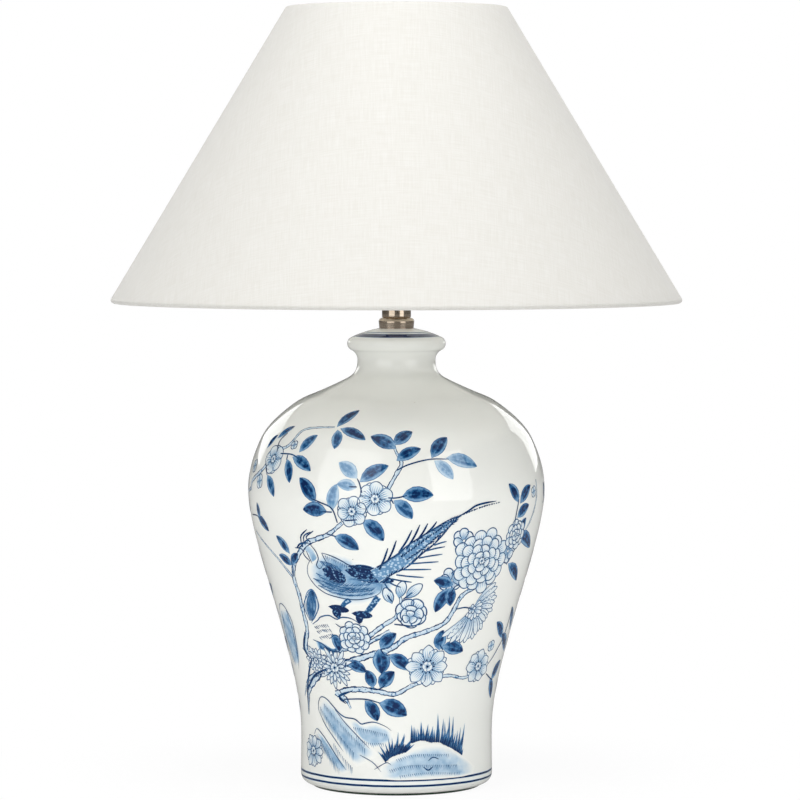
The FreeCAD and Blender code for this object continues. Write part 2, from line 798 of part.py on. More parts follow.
def make_ferrule(label, side):
    """The sleeve that slides down over a harp leg and the saddle's tab."""
    outer = size("ferrule_radius")
    bore = size("ferrule_bore")
    lead = size("ferrule_edge")
    top_z = ferrule_z + size("ferrule_height")
    body, edge = turned(label, at(bore, ferrule_z))
    edge.line(outer, ferrule_z)
    edge.line(outer, top_z - lead)
    edge.arc(lead, at(outer - lead, top_z - lead), at(outer - lead, top_z), False)
    edge.line(bore, top_z)
    edge.close()
    revolve(body, edge)
    return bind(body, Placement__Base__x=size("saddle_half_span") * side)


# ---------------------------------------------------------------- socket


def make_socket_cap():
    """The socket's lower shell, threaded on the pipe's end."""
    hub = size("hub_radius")
    wall = size("cap_wall")
    outer = size("cap_radius")
    dome_r = size("cap_dome")
    shelf_z = hub_z + size("hub_height")
    rim_z = cap_dome_z + size("cap_rim")
    centre = at(outer - dome_r, cap_dome_z)
    body, edge = turned("socket_cap_turned", at(thread_hole, hub_z))
    edge.line(hub, hub_z)
    edge.line(hub, shelf_z)
    edge.line(centre[0], shelf_z)
    edge.arc(dome_r, centre, at(outer, cap_dome_z), False)
    edge.line(outer, rim_z)
    edge.line(outer - wall, rim_z)
    edge.line(outer - wall, cap_dome_z)
    edge.arc(dome_r - wall, centre, at(centre[0], shelf_z + wall), True)
    edge.line(thread_hole, shelf_z + wall)
    edge.close()
    revolve(body, edge)
    return cut("socket_cap", body, screw_along_x("set_screw_hole"))


def screw_along_x(label):
    """A plain screw blank through the hub's +X side."""
    item = cylinder(label, size("set_screw_radius"), size("set_screw_length"))
    item.Placement.Rotation = FreeCAD.Rotation(FreeCAD.Vector(0, 1, 0), 90)
    return bind(item, Placement__Base__x=size("pipe_radius"),
                Placement__Base__z=hub_z + size("hub_height") / 2)


def make_socket_shell():
    """The socket's upper shell with its rolled mouth, and the paper sleeve inside it."""
    wall = size("socket_shell_wall")
    outer = size("cap_radius") - size("cap_wall") - size("shell_gap")
    bead = size("socket_bead")
    mouth_z = shell_z + size("socket_shell_height")
    shell, edge = turned("socket_shell_turned", at(outer - wall, shell_z))
    edge.line(outer, shell_z)
    edge.line(outer, mouth_z - 2 * bead)
    edge.arc(bead, at(outer, mouth_z - bead), at(outer + bead, mouth_z - bead), False)
    edge.arc(bead, at(outer, mouth_z - bead), at(outer, mouth_z), False)
    edge.line(outer - wall, mouth_z)
    edge.close()
    revolve(shell, edge)
    sleeve_outer = outer - wall - size("shell_gap")
    sleeve = ring("socket_sleeve_ring", sleeve_outer, sleeve_outer - size("insulator_wall"),
                  size("socket_shell_height"), shell_z + size("rest_gap"))
    return [
        cut("socket_shell", shell, switch_hole("socket_shell_hole", outer)),
        cut("socket_insulator", sleeve, switch_hole("socket_sleeve_hole", outer)),
    ]


def switch_hole(label, outer):
    """The hole at the front of the socket that the switch's shaft comes through."""
    item = cylinder(label, size("shaft_hole"), outer)
    item.Placement.Rotation = FreeCAD.Rotation(FreeCAD.Vector(1, 0, 0), 90)
    return bind(item, Placement__Base__y=-outer / 2, Placement__Base__z=switch_z)


def make_socket_interior():
    """The moulded switch block with its two terminals, the screw shell and the contact."""
    sleeve_bore = (size("cap_radius") - size("cap_wall") - size("shell_gap") * 2
                   - size("socket_shell_wall") - size("insulator_wall"))
    radius = sleeve_bore - size("rest_gap")
    height = size("socket_body_height")
    blank = cylinder("socket_body_blank", radius, height, block_z)
    flats = doc.addObject("Part::Box", "socket_body_flats")
    bind(flats, Length=size("socket_flat") * 2, Width=radius * 2, Height=height,
         Placement__Base__x=-size("socket_flat"), Placement__Base__y=-radius, Placement__Base__z=block_z)
    core = doc.addObject("Part::Common", "socket_body_core")
    core.Base = blank
    core.Tool = flats
    bore = cylinder("socket_body_bore", size("shaft_radius") + size("thread_gap"), radius * 2)
    bore.Placement.Rotation = FreeCAD.Rotation(FreeCAD.Vector(1, 0, 0), 90)
    bind(bore, Placement__Base__y=-(size("shaft_root") - size("rest_gap")), Placement__Base__z=switch_z)
    shell = size("screw_shell_radius")
    screw_shell = ring("screw_shell", shell, shell - size("screw_shell_wall"),
                       size("screw_shell_height"), contact_z)
    contact = cylinder("centre_contact", size("contact_radius"), size("contact_height"), contact_z)
    return [
        cut("socket_body", core, bore),
        screw_shell,
        contact,
        make_terminal("terminal_screw_1", 1),
        make_terminal("terminal_screw_2", -1),
    ]


def make_terminal(label, side):
    """A slotted screw head on one flat of the switch block."""
    head = cylinder(label + "_head", size("terminal_head"), size("terminal_thickness"))
    slot = doc.addObject("Part::Box", label + "_slot")
    bind(slot, Length=size("terminal_head") * 2, Width=size("terminal_slot"),
         Height=size("terminal_thickness") / 2, Placement__Base__x=-size("terminal_head"),
         Placement__Base__y=-size("terminal_slot") / 2, Placement__Base__z=size("terminal_thickness") / 2)
    screw = cut(label, head, slot)
    screw.Placement.Rotation = FreeCAD.Rotation(FreeCAD.Vector(0, 1, 0), 90 * side)
    return bind(screw, Placement__Base__x=size("socket_flat") * side,
                Placement__Base__z=block_z + size("terminal_rise"))


def make_switch():
    """The turning shaft and its fluted knob, pointing to the front."""
    shaft = cylinder("switch_shaft", size("shaft_radius"), size("shaft_reach") - size("shaft_root"))
    shaft.Placement.Rotation = FreeCAD.Rotation(FreeCAD.Vector(1, 0, 0), 90)
    bind(shaft, Placement__Base__y=-size("shaft_root"), Placement__Base__z=switch_z)
    radius = size("knob_radius")
    length = size("knob_length")
    rounding = size("knob_edge")
    cap_depth = size("knob_stand_off") + size("cap_radius") + length - size("shaft_reach")
    bore = size("shaft_radius") + size("thread_gap")
    body, edge = turned("switch_knob", at(bore, ZERO))
    edge.line(size("knob_nose"), ZERO)
    edge.line(radius, size("knob_taper"))
    edge.line(radius, length - rounding)
    edge.arc(rounding, at(radius - rounding, length - rounding), at(radius - rounding, length), False)
    edge.line(ZERO, length)
    edge.line(ZERO, length - cap_depth)
    edge.line(bore, length - cap_depth)
    edge.close()
    revolve(body, edge)
    flute = new_sketch(body, "XY_Plane", "knob_flute")
    round_section(flute, radius + size("knob_groove") / 2, ZERO, size("knob_groove"))
    groove = body.newObject("PartDesign::Pocket", "knob_flute_cut")
    groove.Profile = flute
    groove.Reversed = True
    bind(groove, Length=length + size("overcut"))
    flutes = body.newObject("PartDesign::PolarPattern", "knob_flutes")
    flutes.Originals = [groove]
    flutes.Axis = (flute, ["N_Axis"])
    flutes.Angle = FULL_TURN
    flutes.Occurrences = round(KNOB_GROOVES)
    body.Tip = flutes
    body.Placement.Rotation = FreeCAD.Rotation(FreeCAD.Vector(1, 0, 0), 90)
    bind(body, Placement__Base__y=-(size("cap_radius") + size("knob_stand_off")),
         Placement__Base__z=switch_z)
    return [shaft, body]


# ---------------------------------------------------------------- bulb


def bulb_poles(start, wall):
    """Control points of the glass from its neck to its top."""
    swell = size("bulb_radius") - start
    poles = [at(start + swell * across, bulb_neck_z + size("bulb_height") * up) for across, up in BULB_CURVE]
    top_z = bulb_neck_z + size("bulb_height") - wall
    return poles + [at(size("bulb_radius") * BULB_CROWN, top_z), at(ZERO, top_z)]


def make_bulb():
    """The frosted glass, open at its neck."""
    neck = size("bulb_neck_radius")
    wall = size("bulb_glass_wall")
    body, edge = turned("bulb_glass", at(neck - wall, bulb_neck_z))
    edge.line(neck, bulb_neck_z)
    edge.curve(bulb_poles(neck, ZERO))
    edge.line(ZERO, bulb_neck_z + size("bulb_height") - wall)
    inner = bulb_poles(neck, wall)
    inner = [at(pole[0] - wall, pole[1]) for pole in inner[:-1]]
    edge.curve(inner[::-1] + [edge.start])
    return revolve(body, edge)


def make_bulb_cap():
    """The bulb's screw cap, its dark insulator and the contact at its tip."""
    radius = size("bulb_cap_radius")
    tip = size("bulb_contact_radius")
    insulator_z = bulb_z + size("bulb_contact_height")
    cone = doc.addObject("Part::Cone", "bulb_insulator")
    bind(cone, Radius1=tip, Radius2=radius - size("bulb_glass_wall"),
         Height=size("bulb_insulator_height"), Placement__Base__z=insulator_z)
    return [
        cylinder("bulb_cap", radius, size("bulb_cap_height"), bulb_cap_z),
        cone,
        cylinder("bulb_contact", tip, size("bulb_contact_height"), bulb_z),
    ]


# ---------------------------------------------------------------- shade

slope_length = root((size("shade_bottom_radius") - size("shade_top_radius"))
                    * (size("shade_bottom_radius") - size("shade_top_radius"))
                    + size("shade_height") * size("shade_height"))
slope_in = (size("shade_bottom_radius") - size("shade_top_radius")) / slope_length
slope_up = size("shade_height") / slope_length
shade_top_z = top_ring_z + size("hem_radius") * (slope_up + slope_in)
shade_bottom_z = shade_top_z - size("shade_height")


def on_slope(along, depth):
    """A point of the shade's section: so far up the slope, and so far in from its outer face."""
    along = Dim.of(along)
    depth = Dim.of(depth)
    return at(size("shade_bottom_radius") - along * slope_in - depth * slope_up,
              shade_bottom_z + along * slope_up - depth * slope_in)


def hem_point(radius, from_top):
    """The point on a hem's roll where the cloth leaves it for the liner."""
    along = size("hem_radius") + radius * cosine(size("hem_fold"))
    depth = size("hem_radius") + radius * sine(size("hem_fold"))
    return on_slope(slope_length - along if from_top else along, depth)


def make_shade_fabric():
    """The cone of cloth, rolled round a wire at both edges, the hems glued to the liner."""
    cloth = size("fabric")
    hem = size("hem_radius")
    inner_hem = hem - cloth
    tail_outer = cloth + size("liner") + cloth
    tail_inner = cloth + size("liner")
    tail = size("hem_tail_start")
    end = size("hem_tail_end")
    turn = tail - size("hem_tail_set")
    body, edge = turned("fabric_cone", on_slope(end, tail_outer))
    low = on_slope(hem, hem)
    high = on_slope(slope_length - hem, hem)
    edge.line_to(on_slope(tail, tail_outer))
    edge.line_to(hem_point(hem, False))
    edge.arc(hem, low, on_slope(hem, 0), False)
    edge.line_to(on_slope(slope_length - hem, 0))
    edge.arc(hem, high, hem_point(hem, True), False)
    edge.line_to(on_slope(slope_length - tail, tail_outer))
    edge.line_to(on_slope(slope_length - end, tail_outer))
    edge.line_to(on_slope(slope_length - end, tail_inner))
    edge.line_to(on_slope(slope_length - turn, tail_inner))
    edge.line_to(hem_point(inner_hem, True))
    edge.arc(inner_hem, high, on_slope(slope_length - hem, cloth), True)
    edge.line_to(on_slope(hem, cloth))
    edge.arc(inner_hem, low, hem_point(inner_hem, False), True)
    edge.line_to(on_slope(turn, tail_inner))
    edge.line_to(on_slope(end, tail_inner))
    edge.close()
    return revolve(body, edge)


def make_shade_liner():
    """The stiff styrene sheet that the cloth is laminated to."""
    front = size("fabric")
    back = front + size("liner")
    end = size("liner_end")
    body, edge = turned("shade_liner", on_slope(end, front))
    edge.line_to(on_slope(slope_length - end, front))
    edge.line_to(on_slope(slope_length - end, back))
    edge.line_to(on_slope(end, back))
    edge.close()
    return revolve(body, edge)


def spider_sweep(label, wire, angle):
    """A round bar along an arm's route: level from the fitter, then up to the top ring."""
    ring_centre = on_slope(slope_length - size("hem_radius"), size("hem_radius"))
    run = size("spider_run")
    rise_r = ring_centre[0] - run
    rise_z = ring_centre[1] - arm_z
    reach = root(rise_r * rise_r + rise_z * rise_z)
    cos_up = rise_r / reach
    sin_up = rise_z / reach
    setback = size("spider_bend") * sin_up / (1 + cos_up)
    stop = reach - size("spider_weld")
    start = size("spider_root")
    bend_end = at(run + setback * cos_up, arm_z + setback * sin_up)
    body = new_body(label)
    path = new_sketch(body, "XZ_Plane", label + "_path")
    edge = Outline(path, at(start, arm_z))
    edge.line(run - setback, arm_z)
    edge.arc(size("spider_bend"), at(run - setback, arm_z + size("spider_bend")), bend_end, False)
    edge.line(run + stop * cos_up, arm_z + stop * sin_up)
    section = new_sketch(body, "YZ_Plane", label + "_section")
    bind(section, AttachmentOffset__Base__z=start)
    round_section(section, ZERO, arm_z, wire)
    pipe = body.newObject("PartDesign::AdditivePipe", label + "_sweep")
    pipe.Profile = section
    pipe.Spine = path
    body.Placement.Rotation = FreeCAD.Rotation(FreeCAD.Vector(0, 0, 1), angle)
    return body


def make_shade_frame():
    """Both rings, the fitter washer, and the arms that are welded to it and the top ring."""
    hem = size("hem_radius")
    top_ring = wire_ring("top_ring", on_slope(slope_length - hem, hem))
    bottom_ring = wire_ring("bottom_ring", on_slope(hem, hem))
    washer = ring("fitter_washer", size("fitter_radius"), size("fitter_bore"),
                  size("fitter_thickness"), fitter_z)
    welded = doc.addObject("Part::Compound", "weld_faces")
    welded.Links = [top_ring, washer]
    arms = []
    notches = []
    for label, angle in ARM_ANGLES.items():
        arms.append(cut(label, spider_sweep(label + "_wire", size("spider_wire"), angle), welded))
        notches.append(spider_sweep(label + "_notch", size("spider_wire") + size("spider_notch"), angle))
    notched = doc.addObject("Part::Compound", "fabric_notches")
    notched.Links = notches
    fabric = cut("shade_fabric", make_shade_fabric(), notched)
    return [fabric, make_shade_liner(), top_ring, bottom_ring, washer] + arms


def make_finial():
    """The low turned knob that holds the shade on the stud."""
    base = size("finial_base")
    waist = size("finial_waist")
    ball = size("finial_ball")
    bore = size("stud_radius") + size("thread_gap")
    top_z = finial_z + size("finial_height")
    base_top_z = finial_z + size("finial_base_height")
    ball_z = top_z - ball
    depth_z = finial_z + size("finial_bore_depth")
    waist_drop = root(ball * ball - waist * waist)
    body, edge = turned("finial", at(bore, finial_z))
    edge.line(base, finial_z)
    edge.line(base, base_top_z)
    edge.line(waist, base_top_z + size("finial_bevel"))
    edge.line(waist, ball_z - waist_drop)
    edge.arc(ball, at(ZERO, ball_z), at(ZERO, top_z), False)
    edge.line(ZERO, depth_z)
    edge.line(bore, depth_z)
    edge.close()
    return revolve(body, edge)


# ---------------------------------------------------------------- assembly


def make_everything():
    """Every sub-part, each an object whose label is its node's name."""
    parts = [make_felt_pad(), make_jar(), make_cord_grommet()]
    parts += make_pipe_and_fasteners()
    parts += [make_seating_cup(), make_neck_tube(), make_harp_saddle()]
    parts += [make_socket_cap(), screw_along_x("socket_set_screw")]
    parts += make_socket_shell()
    parts += make_socket_interior()
    parts += make_switch()
    parts += [make_bulb()] + make_bulb_cap()
    parts += [make_harp()] + make_harp_top()
    parts += [make_ferrule("ferrule_left", -1), make_ferrule("ferrule_right", 1)]
    parts += make_shade_frame()
    parts += [make_finial()]
    return parts


def check(parts):
    """Stop if any object failed to build, or if a sub-part has no sound shape."""
    failed = [item.Name for item in doc.Objects if {"Invalid", "Error"} & set(item.State)]
    for part in parts:
        if part.Shape.isNull() or not part.Shape.isValid() or not part.Shape.Solids:
            failed.append(part.Label)
    if failed:
        raise RuntimeError("failed: " + ", ".join(failed))


PARTS = make_everything()
doc.recompute()
check(PARTS)
os.makedirs("parts", exist_ok=True)
for part in PARTS:
    part.Shape.exportStep(os.path.join("parts", part.Label + ".step"))
print("%d sub-parts, %.1f mm tall" % (len(PARTS), shade_top_z.value))
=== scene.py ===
"""The visual model of a ginger jar table lamp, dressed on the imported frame.

Sizes are in millimetres and become metres when a mesh is made. X is to the right,
the front faces -Y, and heights count up from the table.
"""

from __future__ import annotations

import json
import logging
import math
from dataclasses import dataclass, field
from enum import Enum
from typing import Any, Iterable, Optional, Sequence

import bpy
import numpy as np
from mathutils import Euler, Matrix, Vector

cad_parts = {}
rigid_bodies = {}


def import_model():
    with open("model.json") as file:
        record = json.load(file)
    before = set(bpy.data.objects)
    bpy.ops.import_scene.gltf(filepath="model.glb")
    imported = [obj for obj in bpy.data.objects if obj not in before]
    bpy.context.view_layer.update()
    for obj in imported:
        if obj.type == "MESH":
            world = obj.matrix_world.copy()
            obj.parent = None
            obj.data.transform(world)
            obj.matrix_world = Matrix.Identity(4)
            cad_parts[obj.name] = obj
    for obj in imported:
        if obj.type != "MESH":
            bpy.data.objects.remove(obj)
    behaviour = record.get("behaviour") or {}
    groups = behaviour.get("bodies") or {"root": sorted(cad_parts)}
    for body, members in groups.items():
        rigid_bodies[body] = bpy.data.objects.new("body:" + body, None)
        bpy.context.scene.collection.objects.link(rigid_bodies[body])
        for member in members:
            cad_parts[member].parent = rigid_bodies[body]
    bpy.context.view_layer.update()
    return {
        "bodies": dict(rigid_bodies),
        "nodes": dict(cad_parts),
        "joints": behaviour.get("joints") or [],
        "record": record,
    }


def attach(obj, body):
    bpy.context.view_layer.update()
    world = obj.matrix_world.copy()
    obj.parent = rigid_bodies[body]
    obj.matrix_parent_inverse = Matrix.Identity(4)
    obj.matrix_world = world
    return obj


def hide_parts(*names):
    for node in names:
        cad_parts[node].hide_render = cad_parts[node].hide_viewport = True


LOG = logging.getLogger("ginger_jar_lamp")
MM = 0.001
TURN = 2 * math.pi
FULL_TURN_DEGREES = 360.0
Rgb = tuple[float, float, float]
# A spot is a turn in degrees from the front and a height, and a row is spots one after another.
Spot = tuple[float, float]
Row = Sequence[float]


def paint(red: int, green: int, blue: int) -> tuple[float, float, float, float]:
    """Turn a screen colour into the linear colour that a shader takes.

    Args:
        red: Red from 0 to 255.
        green: Green from 0 to 255.
        blue: Blue from 0 to 255.

    Returns:
        The linear colour with full alpha.
    """

    def linear(channel: int) -> float:
        """Undo the screen's transfer curve for one channel."""
        share = channel / 255
        return share / 12.92 if share <= 0.04045 else ((share + 0.055) / 1.055) ** 2.4

    return (linear(red), linear(green), linear(blue), 1.0)


# ---------------------------------------------------------------- shader tools


class Number:
    """A number in a node tree, which takes Python's operators."""

    def __init__(self, maker: "NodeMaker", socket: Any) -> None:
        """Wrap a socket, or a plain number."""
        self.maker = maker
        self.socket = socket

    def _math(self, operation: str, *others: Any, clamp: bool = False) -> "Number":
        """Add a Math node whose first input is this number."""
        values = {index: other for index, other in enumerate((self, *others))}
        node = self.maker.node("ShaderNodeMath", {"operation": operation, "use_clamp": clamp}, values)
        return Number(self.maker, node.outputs[0])

    def __add__(self, other: Any) -> "Number":
        """Sum."""
        return self._math("ADD", other)

    __radd__ = __add__

    def __mul__(self, other: Any) -> "Number":
        """Product."""
        return self._math("MULTIPLY", other)

    __rmul__ = __mul__

    def __sub__(self, other: Any) -> "Number":
        """Difference."""
        return self._math("SUBTRACT", other)

    def __rsub__(self, other: Any) -> "Number":
        """Difference from a plain number."""
        return Number(self.maker, other)._math("SUBTRACT", self)

    def clamped(self) -> "Number":
        """Hold the number between 0 and 1."""
        return self._math("ADD", 0.0, clamp=True)

    def magnitude(self) -> "Number":
        """Drop the sign."""
        return self._math("ABSOLUTE")

    def sine(self) -> "Number":
        """Sine of the number in radians."""
        return self._math("SINE")

    def root(self) -> "Number":
        """Square root."""
        return self._math("SQRT")

    def larger(self, other: Any) -> "Number":
        """The larger of two."""
        return self._math("MAXIMUM", other)

    def smaller(self, other: Any) -> "Number":
        """The smaller of two."""
        return self._math("MINIMUM", other)

    def slope(self, run: Any) -> "Number":
        """The angle of a slope that rises by this number over a run."""
        return self._math("ARCTAN2", run)

    def fraction(self) -> "Number":
        """The part after the point."""
        return self._math("FRACT")

    def step(self, low: float, high: float) -> "Number":
        """Rise smoothly from 0 at one value to 1 at another.

        Args:
            low: Where the result is 0.
            high: Where the result is 1. It may be below low.

        Returns:
            The smooth step.
        """
        flip = high < low
        first, last = (high, low) if flip else (low, high)
        ends = {"Value": self, "From Min": first, "From Max": last}
        node = self.maker.node("ShaderNodeMapRange", {"interpolation_type": "SMOOTHSTEP"}, ends)
        rise = Number(self.maker, node.outputs[0])
        return 1.0 - rise if flip else rise

    def band(self, middle: float, half_width: float, soft: float) -> "Number":
        """Be 1 within a half width of the middle, falling to 0 over a soft edge."""
        return (self - middle).magnitude().step(half_width + soft, max(half_width - soft, 0.0))


class NodeMaker:
    """Fills a node tree of any kind."""

    def __init__(self, tree: bpy.types.NodeTree) -> None:
        """Empty the tree."""
        self.tree = tree
        tree.nodes.clear()

    def node(self, kind: str, settings: dict[str, Any], values: dict[Any, Any]) -> Any:
        """Add a node: its settings first, then the values or links of its sockets.

        Args:
            kind: The node's type.
            settings: Its properties, and "stops" for a ramp's places and colours.
            values: Numbers, colours, sockets or Numbers by socket name or index.

        Returns:
            The node.
        """
        made = self.tree.nodes.new(kind)
        for name, setting in settings.items():
            if name == "stops":
                ramp = made.color_ramp
                while len(ramp.elements) < len(setting):
                    ramp.elements.new(1.0)
                for element, (place, colour) in zip(ramp.elements, setting):
                    element.position = place
                    element.color = colour
            else:
                setattr(made, name, setting)
        for key, value in values.items():
            if isinstance(value, Number):
                value = value.socket
            if isinstance(value, bpy.types.NodeSocket):
                self.tree.links.new(value, made.inputs[key])
            else:
                made.inputs[key].default_value = value
        return made

    def parts(self, vector: Any) -> tuple[Number, Number, Number]:
        """Split a vector into its three numbers."""
        split = self.node("ShaderNodeSeparateXYZ", {}, {0: vector})
        return tuple(Number(self, out) for out in split.outputs)


class Shader(NodeMaker):
    """Fills a material or the world."""

    @classmethod
    def material(cls, name: str) -> tuple["Shader", bpy.types.Material]:
        """Make a material and the shader that fills it."""
        material = bpy.data.materials.new(name)
        material.use_nodes = True
        return cls(material.node_tree), material

    def position(self, scale: Sequence[float] = (1.0, 1.0, 1.0)) -> Any:
        """The place on the object, stretched by a scale along each axis."""
        place = self.node("ShaderNodeTexCoord", {}, {}).outputs["Object"]
        return self.scaled(place, scale)

    def scaled(self, place: Any, scale: Sequence[float]) -> Any:
        """Stretch a place by a scale along each axis."""
        return self.node("ShaderNodeMapping", {}, {"Vector": place, "Scale": scale}).outputs[0]

    def own_map(self, name: str) -> tuple[Any, Number, Number]:
        """Read a piece's own flat map.

        Args:
            name: The map's name.

        Returns:
            The map as a vector, and its two numbers.
        """
        flat = self.node("ShaderNodeUVMap", {"uv_map": name}, {}).outputs[0]
        across, along, _ = self.parts(flat)
        return flat, across, along

    def attribute(self, name: str) -> Number:
        """Read a number that each point of the piece carries."""
        return Number(self, self.node("ShaderNodeAttribute", {"attribute_name": name}, {}).outputs["Fac"])

    def noise(self, place: Any, scale: float, detail: float = 3.0, roughness: float = 0.55) -> Number:
        """Soft noise from 0 to 1."""
        values = {"Vector": place, "Scale": scale, "Detail": detail, "Roughness": roughness}
        return Number(self, self.node("ShaderNodeTexNoise", {}, values).outputs[0])

    def cells(self, place: Any, scale: float) -> Number:
        """How far a place is from its nearest scattered dot."""
        made = self.node("ShaderNodeTexVoronoi", {}, {"Vector": place, "Scale": scale})
        return Number(self, made.outputs[0])

    def ramp(self, share: Number, stops: Sequence[tuple[float, Any]]) -> Any:
        """Look a number up in a row of colours."""
        return self.node("ShaderNodeValToRGB", {"stops": stops}, {0: share}).outputs[0]

    def mix(self, share: Any, first: Any, second: Any) -> Any:
        """Blend two colours."""
        made = self.node("ShaderNodeMix", {"data_type": "RGBA"}, {"Factor": share, 6: first, 7: second})
        return made.outputs[2]

    def bump(self, height: Number, depth: float, strength: float = 1.0) -> Any:
        """Turn a height from 0 to 1 into a bent normal, its depth in millimetres."""
        values = {"Height": height, "Distance": depth * MM, "Strength": strength}
        return self.node("ShaderNodeBump", {}, values).outputs[0]

    def surface(self, values: dict[str, Any]) -> None:
        """End the material in one Principled shader with these sockets set."""
        shader = self.node("ShaderNodeBsdfPrincipled", {}, values)
        self.node("ShaderNodeOutputMaterial", {}, {"Surface": shader.outputs[0]})


# ---------------------------------------------------------------- finishes


class Finish:
    """What every finish has: a name, and the sockets that it works out in a shader."""

    name: str

    def sockets(self, shader: Shader) -> dict[str, Any]:
        """The Principled shader's sockets that make this finish."""
        raise NotImplementedError

    def make(self) -> bpy.types.Material:
        """Build the material.

        Returns:
            The finished material.
        """
        shader, material = Shader.material(self.name)
        shader.surface(self.sockets(shader))
        return material


@dataclass(frozen=True)
class GlazeColours:
    """The white glaze and the cobalt under it, from bare glaze to the darkest ink."""

    bare: Rgb = (239, 239, 233)
    shade: Rgb = (231, 233, 229)
    tones: tuple[tuple[float, Rgb], ...] = (
        (0.0, (238, 239, 234)),
        (0.22, (182, 205, 222)),
        (0.48, (110, 152, 188)),
        (0.74, (36, 90, 138)),
        (1.0, (4, 36, 80)),
    )
    roughness: float = 0.22
    coat: float = 1.0
    coat_roughness: float = 0.035
    ripple: float = 0.09

    def gloss(self, shader: Shader) -> dict[str, Any]:
        """The sockets that the bare glaze and each ink share, so their shine runs on.

        Args:
            shader: The shader that is filled.

        Returns:
            The sockets' values by name.
        """
        place = shader.position()
        ripple = shader.noise(place, 34.0, 2.0)
        return {
            "Roughness": shader.noise(place, 55.0, 3.0) * 0.08 + self.roughness,
            "Coat Weight": self.coat,
            "Coat Roughness": self.coat_roughness,
            "Coat IOR": 1.6,
            "Specular IOR Level": 0.0,
            "Normal": shader.bump(ripple, self.ripple),
        }

    def ink(self, shader: Shader, tone: Number) -> Any:
        """Look a tone up between bare glaze and full cobalt, with the brush's pooling."""
        pooled = shader.noise(shader.position(), 260.0, 3.0) - 0.5
        deepened = (tone + pooled * 0.22 * tone).clamped()
        return shader.ramp(deepened, [(place, paint(*colour)) for place, colour in self.tones])


@dataclass(frozen=True)
class JarGlaze(Finish):
    """The glaze on the jar's body, with its painted bands at the foot and the lip."""

    name: str = "jar_glaze"
    colours: GlazeColours = GlazeColours()
    upper_line: float = 14.6
    lower_line: float = 9.6
    line_half: float = 0.9
    collar_inner: float = 31.2
    collar_outer: float = 38.0
    collar_floor: float = 388.0
    inner_ring: float = 28.0
    inner_ring_half: float = 0.8

    def sockets(self, shader: Shader) -> dict[str, Any]:
        """The glaze, clouded and specked, with its wash, lines, collar and ring.

        Args:
            shader: The shader that is filled.

        Returns:
            The sockets' values by name.
        """
        place = shader.position()
        across, deep, up = shader.parts(place)
        wobble = (shader.noise(place, 60.0, 2.0) - 0.5) * (0.5 * MM)
        height = up + wobble
        radius = (across * across + deep * deep).root() + wobble
        foot_wash = height.band((self.upper_line + self.lower_line) / 2 * MM, 2.6 * MM, 0.6 * MM) * 0.04
        upper, lower = (height.band(line * MM, self.line_half * MM, 0.35 * MM)
                        for line in (self.upper_line, self.lower_line))
        on_lip = up.step(self.collar_floor * MM, (self.collar_floor + 1.0) * MM)
        collar = radius.band(
            (self.collar_inner + self.collar_outer) / 2 * MM,
            (self.collar_outer - self.collar_inner) / 2 * MM,
            0.4 * MM,
        )
        ring = radius.band(self.inner_ring * MM, self.inner_ring_half * MM, 0.4 * MM) * 0.85
        tone = foot_wash.larger(upper.larger(lower)).larger(collar.larger(ring) * on_lip)
        cloud = shader.noise(place, 9.0, 3.0)
        speck = shader.cells(place, 120.0).step(0.10, 0.04) * shader.noise(place, 21.0).step(0.60, 0.72)
        bare = shader.mix(cloud, paint(*self.colours.bare), paint(*self.colours.shade))
        bare = shader.mix(speck * 0.35, bare, paint(150, 140, 122))
        dark = shader.ramp(tone, [(share, paint(*colour)) for share, colour in self.colours.tones])
        return {"Base Color": shader.mix(tone.step(0.0, 0.12), bare, dark), **self.colours.gloss(shader)}


@dataclass(frozen=True)
class Linen(Finish):
    """The shade's woven cloth, its threads straight in the flat cut."""

    name: str = "shade_linen"
    thread: float = 0.62
    pale: Rgb = (204, 203, 199)
    deep: Rgb = (196, 194, 188)
    weave_depth: float = 0.10

    def sockets(self, shader: Shader) -> dict[str, Any]:
        """The weave, with slubs along both threads.

        Args:
            shader: The shader that is filled.

        Returns:
            The sockets' values by name.
        """
        flat, across, along = shader.own_map("cut")
        warp = (across * (TURN / (self.thread * MM))).sine()
        weft = (along * (TURN / (self.thread * MM))).sine()
        weave = warp * weft * 0.5 + 0.5
        slub_up, slub_across = (shader.noise(shader.scaled(flat, stretch), 1.0, 3.0)
                                for stretch in ((900.0, 45.0, 1.0), (45.0, 900.0, 1.0)))
        slub = slub_up * 0.5 + slub_across * 0.5
        tint = slub.step(0.30, 0.72)
        height = weave * 0.35 + slub * 0.65
        return {
            "Base Color": shader.mix(tint, paint(*self.deep), paint(*self.pale)),
            "Roughness": 0.88 - tint * 0.06,
            "Sheen Weight": 0.15,
            "Sheen Roughness": 0.5,
            "Specular IOR Level": 0.25,
            "Normal": shader.bump(height, self.weave_depth, 0.9),
        }


@dataclass(frozen=True)
class Metal(Finish):
    """A plated, turned or drawn metal."""

    name: str
    light: Rgb
    dark: Rgb
    roughness: float
    grain: tuple[float, float, float] = (60.0, 60.0, 1800.0)
    depth: float = 0.006

    def sockets(self, shader: Shader) -> dict[str, Any]:
        """Fine lines and soft clouds in colour, shine and height.

        Args:
            shader: The shader that is filled.

        Returns:
            The sockets' values by name.
        """
        lines = shader.noise(shader.position(self.grain), 1.0, 3.0)
        cloud = shader.noise(shader.position(), 48.0, 3.0)
        wear = (lines * 0.5 + cloud * 0.5).step(0.35, 0.7)
        return {
            "Base Color": shader.mix(wear, paint(*self.dark), paint(*self.light)),
            "Metallic": 1.0,
            "Roughness": cloud * 0.10 + lines * 0.06 + (self.roughness - 0.08),
            "Normal": shader.bump(lines, self.depth),
        }


